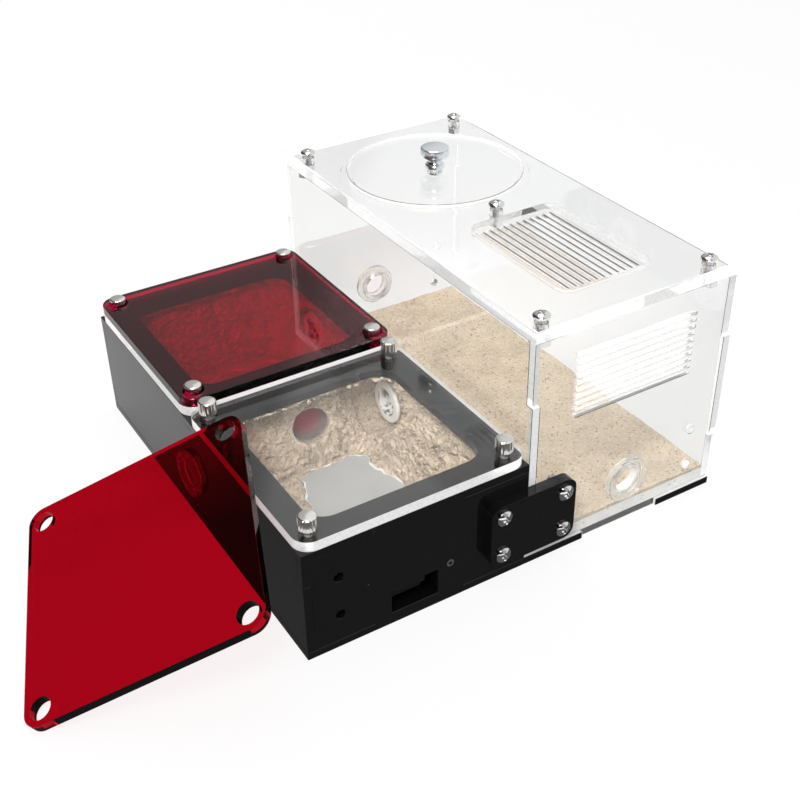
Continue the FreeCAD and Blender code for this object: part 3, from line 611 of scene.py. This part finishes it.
def eased_mesh(node, edge_break):
    """A node's shape with its sharp edges broken by a small chamfer."""
    shape = welded_shape(node)
    bmesh.ops.dissolve_limit(shape, angle_limit=FLAT_ANGLE, verts=shape.verts, edges=shape.edges)
    sharp = [edge for edge in shape.edges if edge.calc_face_angle(0.0) > SHARP_ANGLE]
    bmesh.ops.bevel(shape, geom=sharp, offset=edge_break, segments=1, affect="EDGES", clamp_overlap=True)
    shape.normal_update()
    for vertex in shape.verts:
        vertex.co -= vertex.normal * AIR_FILM
    mesh = mesh_of(shape, node + "_eased")
    shade_smooth(mesh)
    mesh.set_sharp_from_angle(angle=SHARP_ANGLE)
    return mesh


def eased_piece(node, *finishes, edge_break=SHEET_BREAK):
    """A piece with broken edges that stands for a node. Gives its mesh, in its first finish all over."""
    mesh = eased_mesh(node, edge_break)
    for finish in finishes:
        mesh.materials.append(finish)
    new_piece(node + "_shape", mesh, body_of(node), slot_of(node), node)
    return mesh


EDGE_BAND = 5.0 * MM  # cuts within this band of a sheet's outside are its edges
EDGE_FACING = 0.5


def clear_sheet_piece(node, face_finish, edge_finish, cut_finish):
    """A clear sheet with polished faces, milky edges round its outside, and clearer inner cuts."""
    mesh = eased_piece(node, face_finish, edge_finish, cut_finish)
    broad = max(mesh.polygons, key=lambda face: face.area).normal.copy()
    low, high = box_of(node)
    across = [i for i in range(3) if high[i] - low[i] > 2 * EDGE_BAND]
    round_sheet = node == "disc_lid"
    for face in mesh.polygons:
        place = face.center
        outside = min(min(place[i] - low[i], high[i] - place[i]) for i in across) < EDGE_BAND
        if abs(face.normal.dot(broad)) < EDGE_FACING:
            face.material_index = 1 if outside or round_sheet else 2


BORE_FACING = 0.7


def link_ring_piece(node, finish, bore_finish):
    """A tumbled clear ring whose bore has painted reflections streaked round it."""
    mesh = eased_piece(node, finish, bore_finish, edge_break=RING_BREAK)
    low, high = box_of(node)
    middle = (low + high) / 2
    for face in mesh.polygons:
        inward = Vector((0, middle.y - face.center.y, middle.z - face.center.z))
        if inward.length > 0 and face.normal.dot(inward.normalized()) > BORE_FACING:
            face.material_index = 1


PLATE_BORDER = 3.0 * MM
SLOT_BREAK = 0.42 * MM
SLOPE_FACING = 0.4
FLAT_FACING = 0.9


def slotted_plate_piece(node, face_finish, shade_finish, cut_finish):
    """A clear plate, with painted shade along the right side of each slot's top."""
    mesh = eased_piece(node, face_finish, shade_finish, cut_finish, edge_break=SLOT_BREAK)
    low, high = box_of(node)
    for face in mesh.polygons:
        place = face.center
        within = min(place.x - low.x, high.x - place.x, place.y - low.y, high.y - place.y) > PLATE_BORDER
        if within and face.normal.x < -SLOPE_FACING and face.normal.z > SLOPE_FACING:
            face.material_index = 1
        elif abs(face.normal.z) < FLAT_FACING:
            face.material_index = 2


# radius and height of the knob's half section, in millimetres
KNOB_PROFILE = ((0.0, 0.0), (4.2, 0.0), (4.4, 0.25), (4.4, 1.5), (4.1, 1.9), (3.2, 2.3), (2.9, 2.8),
                (3.0, 3.6), (3.5, 4.2), (3.9, 4.6), (5.9, 5.5), (6.45, 6.0), (6.65, 6.7),
                (6.65, 9.1), (6.5, 9.6), (6.0, 9.95), (5.4, 10.0), (0.0, 10.0))
KNOB_SIDES = 48


def make_knob(finish):
    """The turned knob: a deep cap over a waisted neck and a foot, revolved from its half section."""
    low, high = box_of("disc_knob")
    foot = Vector(((low.x + high.x) / 2, (low.y + high.y) / 2, low.z + AIR_FILM))
    stretch = (high.z - low.z - 2 * AIR_FILM) / (KNOB_PROFILE[-1][1] * MM)
    angles = [math.tau * k / KNOB_SIDES for k in range(KNOB_SIDES)]
    shape = bmesh.new()
    loops = []
    for radius, height in KNOB_PROFILE[1:-1]:
        corners = [Vector((radius * MM * math.cos(a), radius * MM * math.sin(a), height * MM * stretch))
                   for a in angles]
        loops.append([shape.verts.new(foot + corner) for corner in corners])
    skin(shape, loops)
    shape.faces.new(list(reversed(loops[0])))
    shape.faces.new(loops[-1])
    mesh = mesh_of(shape, "turned_knob")
    shade_smooth(mesh)
    mesh.set_sharp_from_angle(angle=SHARP_ANGLE)
    mesh.materials.append(finish)
    new_piece("turned_knob", mesh, body_of("disc_knob"), slot_of("disc_knob"), "disc_knob")


CLEAR_SHEETS = ("clear_cover_front", "clear_cover_rear", "foraging_front_wall", "foraging_back_wall",
                "foraging_left_wall", "foraging_right_wall", "foraging_lid", "disc_lid")
TURNED_CLEAR = ("nest_port_left", "foraging_port_front", "foraging_port_back")
LINK_BUSHES = ("link_bush_middle", "link_bush_rear")
LINK_COLLARS = ("link_collar_middle", "link_collar_rear")
METAL = ("lid_bolts", "bracket_screws_front", "bracket_screws_back", "knob_screw", "lid_nuts",
         "bracket_nuts_front", "bracket_nuts_back")
SHEETS = ("nest_floor", "nest_front_wall", "nest_back_wall", "nest_left_wall", "nest_right_wall",
          "nest_top_frame", "foraging_base", "joining_bracket_front", "joining_bracket_back",
          "red_cover_rear")


def dress_made_parts(finishes):
    """Every sheet, turned clear part and metal part, with its edges broken."""
    for node in CLEAR_SHEETS:
        cut = "slot_cut" if node == "foraging_front_wall" else "inner_cut"
        clear_sheet_piece(node, finishes["clear_acrylic"], finishes["cut_edge"], finishes[cut])
    slotted_plate_piece(
        "vent_plate", finishes["clear_acrylic"], finishes["painted_slot_shade"], finishes["inner_cut"])
    eased_piece("disc_seat_ring", finishes["bonded_clear"])
    eased_piece("lid_bushes", finishes["clear_acrylic"])
    for node in TURNED_CLEAR:
        eased_piece(node, finishes["turned_clear"], edge_break=PORT_BREAK)
    for node in LINK_BUSHES:
        link_ring_piece(node, finishes["tumbled_clear"], finishes["tube_bore"])
    for node in LINK_COLLARS:
        eased_piece(node, finishes["tumbled_clear"], edge_break=RING_BREAK)
    for node in METAL:
        eased_piece(node, finishes[slot_of(node)], edge_break=METAL_BREAK)
    make_knob(finishes["satin_knob"])
    for node in nodes:
        if node.startswith("thumb_screw"):
            eased_piece(node, finishes["knurled_nickel"], edge_break=METAL_BREAK)
    for node in SHEETS:
        eased_piece(node, finishes[slot_of(node)])
    # the leaning cover takes the darker copy of the red sheet: painted shade
    eased_piece("red_cover_front", finishes["shaded_red_acrylic"])


# ---- cast lining -----------------------------------------
LINING_NODES = ("lining_front", "lining_ridge", "lining_rear")
FLOOR_TOP = 10.0 * MM
TILE_TOP = 11.2 * MM
TILE_LOW = 10.02 * MM
# each tile's outline, in millimetres
FRONT_TILE = ((35, 57), (37, 68), (41.5, 78), (42, 84), (49.6, 87.4), (57, 86.2), (62.8, 86.9),
              (66.9, 88.4), (74.4, 84.7), (74.8, 80.9), (72.2, 74.8), (75.1, 68.6), (77.3, 61.3),
              (77.6, 52.8), (74, 41), (66, 31), (55, 26), (44, 28), (36, 35), (31, 45))
REAR_TILE = ((32, 150), (30, 140), (38, 134), (47, 136), (57, 133), (68, 136), (76, 135), (78, 146),
             (75, 157), (77, 166), (71, 175), (60, 173), (50, 177), (40, 172), (35, 162))


def smooth_step(value):
    """A soft step from 0 to 1."""
    value = min(max(value, 0.0), 1.0)
    return value * value * (3 - 2 * value)


def settled(thing, *tools):
    """The mesh of an object with its modifiers carried out. The object and its tools are cleared away."""
    graph = bpy.context.evaluated_depsgraph_get()
    mesh = bpy.data.meshes.new_from_object(thing.evaluated_get(graph))
    for item in tools + (thing,):
        bpy.data.objects.remove(item)
    return mesh


def modified(mesh, kind, **settings):
    """A mesh that a modifier has worked over."""
    source = put("source", mesh)
    modifier = source.modifiers.new("modifier", kind)
    for name, value in settings.items():
        setattr(modifier, name, value)
    return settled(source)


def depth_inside(point, low, high):
    """How far a point lies inside a box, along its nearest face."""
    return min(min(point[i] - low[i], high[i] - point[i]) for i in range(3))


# features to a metre, and the share of each in the height of the crumbs
SWELLS = (110.0, 0.25)
CRUMBS = (430.0, 0.9)
STRINGS = (330.0, 0.8)
FINE_SAND = (800.0, 0.3)
DRIFT = (220.0, 0.003)  # features to a metre, and how far they push the crumbs aside
STRING_DRIFT = 1.3  # strings are pushed this many times as far
STRING_STEEPNESS = 2.2


def stucco(point):
    """The height of the trowelled crumbs at a point, from about -1 to 1."""
    drift = noise.noise_vector(point * DRIFT[0]) * DRIFT[1]
    crumb = 0.5 - noise.voronoi((point + drift) * CRUMBS[0])[0][0]
    string = 0.45 - STRING_STEEPNESS * abs(noise.noise((point + drift * STRING_DRIFT) * STRINGS[0]))
    swell = noise.fractal(point * SWELLS[0], 1.0, 2.0, 3)
    fine = noise.noise(point * FINE_SAND[0])
    return SWELLS[1] * swell + CRUMBS[1] * crumb + STRINGS[1] * string + FINE_SAND[1] * fine


def relief_at(point):
    """The height of the crumbs at a point, from 0 in their pits to 1 on their tops."""
    return min(max(0.5 + 0.5 * stucco(point), 0.0), 1.0)


def dense_outline(corners, pitch):
    """Evenly spaced points along a closed outline, in metres."""
    points = []
    for (x0, y0), (x1, y1) in zip(corners, corners[1:] + corners[:1]):
        steps = max(int(math.hypot(x1 - x0, y1 - y0) * MM / pitch), 1)
        for step in range(steps):
            share = step / steps
            points.append(Vector(((x0 + (x1 - x0) * share) * MM, (y0 + (y1 - y0) * share) * MM, 0)))
    return points


OUTLINE_PITCH = 0.9 * MM
OUTLINE_WAVES = (260.0, 0.0011)  # waves to a metre, and how far they move a tile's outline


def wavy_outline(corners):
    """A tile's outline, softened and with a ragged line."""
    points = dense_outline(corners, OUTLINE_PITCH)
    count = len(points)
    reach = range(-2, 3)
    soft = [sum((points[(i + k) % count] for k in reach), Vector()) / len(reach) for i in range(count)]
    return [p + noise.noise_vector(p * OUTLINE_WAVES[0]).to_2d().to_3d() * OUTLINE_WAVES[1] for p in soft]


def signed_reach(point, outline):
    """How far a point lies outside an outline, less than 0 inside it."""
    nearest = min((point.x - p.x) ** 2 + (point.y - p.y) ** 2 for p in outline) ** 0.5
    inside = False
    for first, second in zip(outline, outline[1:] + outline[:1]):
        if (first.y > point.y) != (second.y > point.y):
            if point.x < first.x + (point.y - first.y) / (second.y - first.y) * (second.x - first.x):
                inside = not inside
    return -nearest if inside else nearest


TUNNEL_AXIS = (56.5 * MM, 24.5 * MM)  # the bore's middle, to the right and up
TUNNEL_SPAN = (0.0885, 0.1315)  # the part of the bore that is shaped, from front to back
TUNNEL_RADIUS = 9.0 * MM
TUNNEL_SHIFT = (-2.4 * MM, 3.8 * MM)
TUNNEL_FLATNESS = 0.74
TUNNEL_BLEND = 4.0 * MM  # the shaping fades out over this much of the casting round the bore
TUNNEL_WALL = 1.2 * MM  # and points within this much of the bore count as its wall


def tunnel_shaped(point):
    """Lifts the tunnel's floor, so that its mouth is low and wide. Also tells how far a point is in it."""
    across = point.x - TUNNEL_AXIS[0]
    up = point.z - TUNNEL_AXIS[1]
    away = math.hypot(across, up) - TUNNEL_RADIUS
    share = smooth_step(1 - away / TUNNEL_BLEND)
    if share == 0 or not TUNNEL_SPAN[0] < point.y < TUNNEL_SPAN[1]:
        return point, 0.0
    target = Vector((TUNNEL_AXIS[0] + TUNNEL_SHIFT[0] + across, point.y,
                     TUNNEL_AXIS[1] + TUNNEL_SHIFT[1] + up * TUNNEL_FLATNESS))
    return point.lerp(target, share), smooth_step(1 - away / TUNNEL_WALL)


TUNNEL_SLACK = 0.9 * MM
TUNNEL_SHADE = 16.0 * MM  # the depth counts as 1 from this far in
# a point on each slope of the ridge, and the way that the slope faces
RIDGE_FEET = ((Vector((0, 88 * MM, 10 * MM)), Vector((0, -37.8, 16.0))),
              (Vector((0, 132 * MM, 10 * MM)), Vector((0, 37.8, 16.0))))


def depth_in_tunnel(point):
    """How deep a point of the shaped lining lies in the tunnel, from 0 at its front mouth to 1."""
    across = point.x - TUNNEL_AXIS[0] - TUNNEL_SHIFT[0]
    up = (point.z - TUNNEL_AXIS[1] - TUNNEL_SHIFT[1]) / TUNNEL_FLATNESS
    if math.hypot(across, up) > TUNNEL_RADIUS + TUNNEL_SLACK:
        return 0.0
    front, rear = ((foot - point).dot(outward.normalized()) for foot, outward in RIDGE_FEET)
    if min(front, rear) < 0:
        return 0.0
    return min(front / TUNNEL_SHADE, 1.0)


SCOOP_RADIUS = 14.5 * MM
SCOOP_SHIFT = Vector((79.5 * MM, -10.5 * MM, 8.0 * MM))
RIM_POINTS = 32
RIM_SLACK = 0.3 * MM
RING_SHOWN = 1.0 * MM  # how much of a link bush's rim stands clear of the casting


def make_scoop(bush):
    """The hollow pressed into the bank in front of a link port: a ball drawn onto the bush's rim."""
    ball = bmesh.new()
    bmesh.ops.create_icosphere(ball, subdivisions=4, radius=SCOOP_RADIUS)
    low, high = box_of(bush)
    port = Vector((0, (low.y + high.y) / 2, (low.z + high.z) / 2))
    corners = [vertex.co + SCOOP_SHIFT + port for vertex in ball.verts]
    ball.free()
    rim = (high.z - low.z) / 2 + RIM_SLACK
    for k in range(RIM_POINTS):
        angle = math.tau * k / RIM_POINTS
        corners.append(port + Vector((low.x + RING_SHOWN, rim * math.cos(angle), rim * math.sin(angle))))
    hull = bmesh.new()
    for corner in corners:
        hull.verts.new(corner)
    bmesh.ops.convex_hull(hull, input=hull.verts)
    loose = [vertex for vertex in hull.verts if not vertex.link_faces]
    bmesh.ops.delete(hull, geom=loose, context="VERTS")
    bmesh.ops.recalc_face_normals(hull, faces=hull.faces)
    return put("scoop", mesh_of(hull, "scoop"))


def carved_casting(name):
    """A casting with the bank scooped out in front of each link port."""
    casting = put(name + "_carved", mesh_of(welded_shape(name), name + "_carved"))
    scoops = [make_scoop(bush) for bush in LINK_BUSHES]
    for scoop in scoops:
        cut = casting.modifiers.new("scoop", "BOOLEAN")
        cut.operation = "DIFFERENCE"
        cut.object = scoop
    return settled(casting, *scoops)


# the frame's openings and the roll round them, in millimetres
OPENING_SIDES = (12, 88)
OPENING_ENDS = ((12.0, 88.15), (112.15, 188.3))
ROLL_CORNER = 9.0
ROLL_REACH = 1.2
ROLL_PITCH = 3.0
ROLL_HEIGHT = 46.2
ROLL_THICKNESS = (0.4, 1.3)  # the least, and what the waves add to it
ROLL_WAVES = 150.0  # to a metre
ROLL_SIDES = 8


def add_rim_roll(shape, front, back):
    """The roll of lining that is pressed up against an opening of the frame, from front to back."""
    left, right = (OPENING_SIDES[0] + ROLL_CORNER, OPENING_SIDES[1] - ROLL_CORNER)
    near, far = (front + ROLL_CORNER, back - ROLL_CORNER)
    radius = ROLL_CORNER + ROLL_REACH
    path = []
    for x, y, start in ((right, far, 0), (left, far, 90), (left, near, 180), (right, near, 270)):
        for step in range(7):
            angle = math.radians(start + 15 * step)
            path.append((x + radius * math.cos(angle), y + radius * math.sin(angle)))
    middle = Vector((sum(OPENING_SIDES) / 2 * MM, (front + back) / 2 * MM, ROLL_HEIGHT * MM))
    loops = []
    for spot in dense_outline(path, ROLL_PITCH * MM):
        place = Vector((spot.x, spot.y, middle.z))
        wave = abs(noise.noise(place * ROLL_WAVES))
        thick = (ROLL_THICKNESS[0] + ROLL_THICKNESS[1] * wave) * MM
        loops.append(upright_loop(shape, place, (place - middle).normalized(), thick, ROLL_SIDES))
    skin(shape, loops, closed=True)


VOXEL = 0.8 * MM
MERGE_ANGLE = math.radians(0.4)  # hidden faces that are flatter than this are merged into few
SKIN = 0.6 * MM  # the outermost part of the castings, which stays flat
SKIN_BLEND = 1.6 * MM  # the crumbs grow to their full height over this depth
ROLL_ROOM = 3.0 * MM  # the rim rolls stand this far above the castings at most
RELIEF_HEIGHT = 2.1 * MM
TUNNEL_CALM = 0.9  # share of the crumbs' height that is wiped away in the tunnel
PORT_SIDE = 74 * MM  # the link ports' side of the castings is to the right of this
PORT_PLACES = (98.0 * MM, 167.4 * MM)
PORT_HEIGHT = 24.5 * MM
PORT_CALM = (10.0 * MM, 16.0 * MM)  # crumbs are smooth nearer than this, and rough farther off
PORT_ROUGHNESS = 0.15  # share of the crumbs' height that is left there
FLOOR_SLACK = 0.5 * MM
FLOOR_FACING = 0.7
BED_BLEND = 1.0 * MM
BED_RISE = 1.9 * MM  # the floor of the chambers is heaped this much higher round the tiles


def make_lining(finishes, outlines):
    """One rough cast lining over both chambers, with its ridge, its tunnel and its tile beds."""
    shape = bmesh.new()
    for name in LINING_NODES:
        shape.from_mesh(carved_casting(name))
    for front, back in OPENING_ENDS:
        add_rim_roll(shape, front, back)
    bmesh.ops.recalc_face_normals(shape, faces=shape.faces)
    mesh = modified(mesh_of(shape, "lining_joined"), "REMESH", mode="VOXEL", voxel_size=VOXEL)
    points = [vertex.co.copy() for vertex in mesh.vertices]
    normals = [vertex.normal.copy() for vertex in mesh.vertices]
    corners = [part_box(name) for name in LINING_NODES]
    low = Vector([min(box[0][i] for box in corners) for i in range(3)])
    high = Vector([max(box[1][i] for box in corners) for i in range(3)])
    high.z += ROLL_ROOM
    for index, (point, normal) in enumerate(zip(points, normals)):
        share = smooth_step((depth_inside(point, low, high) - SKIN) / SKIN_BLEND)
        if share == 0:
            continue
        height = RELIEF_HEIGHT * stucco(point)
        placed, in_tunnel = tunnel_shaped(point)
        height *= 1 - TUNNEL_CALM * in_tunnel
        if point.x > PORT_SIDE:
            away = min(math.hypot(point.y - y, point.z - PORT_HEIGHT) for y in PORT_PLACES)
            rough = smooth_step((away - PORT_CALM[0]) / (PORT_CALM[1] - PORT_CALM[0]))
            height *= PORT_ROUGHNESS + (1 - PORT_ROUGHNESS) * rough
        if abs(point.z - FLOOR_TOP) < FLOOR_SLACK and normal.z > FLOOR_FACING:
            outside = min(signed_reach(point, outline) for outline in outlines)
            height = smooth_step(outside / BED_BLEND) * (BED_RISE + height)
        points[index] = placed + normal * share * height
    mesh.vertices.foreach_set("co", [value for point in points for value in point])
    mesh = modified(mesh, "DECIMATE", decimate_type="DISSOLVE", angle_limit=MERGE_ANGLE)
    shade_smooth(mesh)
    # the relief and the depth in the tunnel steer the lining's painted shade and painted red light
    for mark, measure in (("relief", relief_at), ("tunnel", depth_in_tunnel)):
        marks = mesh.attributes.new(mark, "FLOAT", "POINT")
        marks.data.foreach_set("value", [measure(vertex.co) for vertex in mesh.vertices])
    mesh.materials.clear()
    mesh.materials.append(finishes["cast_lining"])
    new_piece("chamber_lining", mesh, "root", "cast_lining", *LINING_NODES)


# scale and height of a tile's outlines, from its foot to its top
TILE_LOOPS = ((1.0, TILE_LOW), (1.0, TILE_TOP - 0.35 * MM), (0.985, TILE_TOP))


def make_tile(name, outline, finish):
    """A smooth cast tile with a ragged outline and a soft top edge."""
    shape = bmesh.new()
    centre = sum(outline, Vector()) / len(outline)
    loops = []
    for scale, z in TILE_LOOPS:
        loops.append([shape.verts.new((centre + (p - centre) * scale).to_2d().to_3d() + Vector((0, 0, z)))
                      for p in outline])
    skin(shape, loops)
    shape.faces.new(loops[-1])
    shape.faces.new(list(reversed(loops[0])))
    bmesh.ops.recalc_face_normals(shape, faces=shape.faces)
    mesh = mesh_of(shape, name)
    mesh.materials.append(finish)
    new_piece(name + "_cast", mesh, "root", "moisture_tile", name)


FRINGE_SIDES = 6
FRINGE_THICKNESS = (0.1, 1.0)  # millimetres: the least, and what the waves add to it
FRINGE_WAVES = 170.0  # to a metre
FRINGE_WANDER = (500.0, 0.7)  # waves to a metre, and how many millimetres they move the bead


def make_fringe(name, outline, finish):
    """The thin bead of plaster that seeps out along a tile's edge."""
    shape = bmesh.new()
    loops = []
    count = len(outline)
    for i, place in enumerate(outline):
        along = (outline[(i + 1) % count] - outline[i - 1]).normalized()
        out = Vector((along.y, -along.x, 0))
        wave = max(noise.noise(place * FRINGE_WAVES), 0.0)
        thick = (FRINGE_THICKNESS[0] + FRINGE_THICKNESS[1] * wave) * MM
        wander = out * noise.noise(place * FRINGE_WANDER[0]) * FRINGE_WANDER[1] * MM
        middle = place + Vector((0, 0, TILE_TOP)) + wander
        loops.append(upright_loop(shape, middle, out, thick, FRINGE_SIDES))
    skin(shape, loops, closed=True)
    bmesh.ops.recalc_face_normals(shape, faces=shape.faces)
    mesh = mesh_of(shape, name)
    shade_smooth(mesh)
    mesh.materials.append(finish)
    new_piece(name, mesh, "root", "cast_lining")


def fill_chambers(finishes):
    """The lining of both chambers, with a tile set in each floor."""
    tiles = {"moisture_tile_front": wavy_outline(FRONT_TILE), "moisture_tile_rear": wavy_outline(REAR_TILE)}
    make_lining(finishes, list(tiles.values()))
    for name, outline in tiles.items():
        make_tile(name, outline, finishes["moisture_tile"])
        make_fringe(name.replace("moisture", "plaster_fringe"), outline, finishes["plaster"])


# ---- sand ------------------------------------------------
LOOSE_GRAINS = 2600
GRAIN_CORNERS = ((1, 0, 0), (0, 1, 0), (-1, 0, 0), (0, -1, 0), (0, 0, 0.7), (0, 0, -0.7))
GRAIN_SIZES = (0.25, 0.55)  # millimetres
GRAIN_SPREAD = 0.7  # millimetres
GRAIN_LIFT = 0.1  # millimetres
GRAIN_TIP = 0.5  # radians


def add_grain(shape, place, size, turn):
    """One loose grain: a small stone with eight faces."""
    stretch = Vector((random.uniform(0.7, 1.2), random.uniform(0.6, 1.0), random.uniform(0.6, 1.0)))
    made = [shape.verts.new(place + turn @ (Vector(corner) * stretch) * size) for corner in GRAIN_CORNERS]
    for i in range(4):
        k = (i + 1) % 4
        shape.faces.new((made[i], made[k], made[4]))
        shape.faces.new((made[k], made[i], made[5]))


SAND_PITCH = 1.5 * MM
SAND_DIP = 0.9 * MM
SAND_WAVES = (60.0, 0.7)  # waves to a metre, and their strength
SAND_ROOM = 0.45 * MM  # the grains that lie on the sand have this much room under the layer's top


def make_sand(finishes):
    """The loose sand, with a soft uneven top and coarse grains that lie on it."""
    low, high = box_of("sand_layer")
    across = max(int((high.x - low.x) / SAND_PITCH), 1)
    along = max(int((high.y - low.y) / SAND_PITCH), 1)
    shape = bmesh.new()
    top = []
    for i in range(across + 1):
        row = []
        for j in range(along + 1):
            x = low.x + (high.x - low.x) * i / across
            y = low.y + (high.y - low.y) * j / along
            dip = 0.5 + SAND_WAVES[1] * noise.fractal(Vector((x, y, 0)) * SAND_WAVES[0], 1.0, 2.0, 4)
            row.append(shape.verts.new((x, y, high.z - SAND_ROOM - SAND_DIP * min(max(dip, 0.0), 1.0))))
        top.append(row)
    for i in range(across):
        for j in range(along):
            shape.faces.new((top[i][j], top[i + 1][j], top[i + 1][j + 1], top[i][j + 1]))
    rim = ([row[0] for row in top] + top[-1][1:] + [row[-1] for row in reversed(top[:-1])]
           + list(reversed(top[0][1:-1])))
    foot = [shape.verts.new((v.co.x, v.co.y, low.z)) for v in rim]
    for i in range(len(rim)):
        k = (i + 1) % len(rim)
        shape.faces.new((rim[i], foot[i], foot[k], rim[k]))
    shape.faces.new(foot)
    bmesh.ops.recalc_face_normals(shape, faces=shape.faces)
    for _ in range(LOOSE_GRAINS):
        i = random.randrange(1, across)
        j = random.randrange(1, along)
        aside = [random.uniform(-GRAIN_SPREAD, GRAIN_SPREAD) for _ in range(2)]
        spot = top[i][j].co + Vector((*aside, GRAIN_LIFT)) * MM
        round_turn = Matrix.Rotation(random.uniform(0, math.tau), 3, "Z")
        tip = Matrix.Rotation(random.uniform(-GRAIN_TIP, GRAIN_TIP), 3, "X")
        add_grain(shape, spot, random.uniform(*GRAIN_SIZES) * MM, round_turn @ tip)
    mesh = mesh_of(shape, "loose_sand")
    mesh.materials.append(finishes["sand"])
    new_piece("loose_sand", mesh, "root", "sand", "sand_layer")


# ---- build -----------------------------------------------
LIGHT_BOUNCES = 32

random.seed(4)
make_camera()
finishes = make_finishes()
for name, node in nodes.items():
    node.data.materials.clear()
    node.data.materials.append(finishes[slot_of(name)])
dress_made_parts(finishes)
fill_chambers(finishes)
make_sand(finishes)
make_floor()
make_world()
make_lamps()
scene.view_settings.view_transform = "Standard"
scene.cycles.max_bounces = LIGHT_BOUNCES
scene.cycles.transmission_bounces = LIGHT_BOUNCES
scene.cycles.transparent_max_bounces = LIGHT_BOUNCES
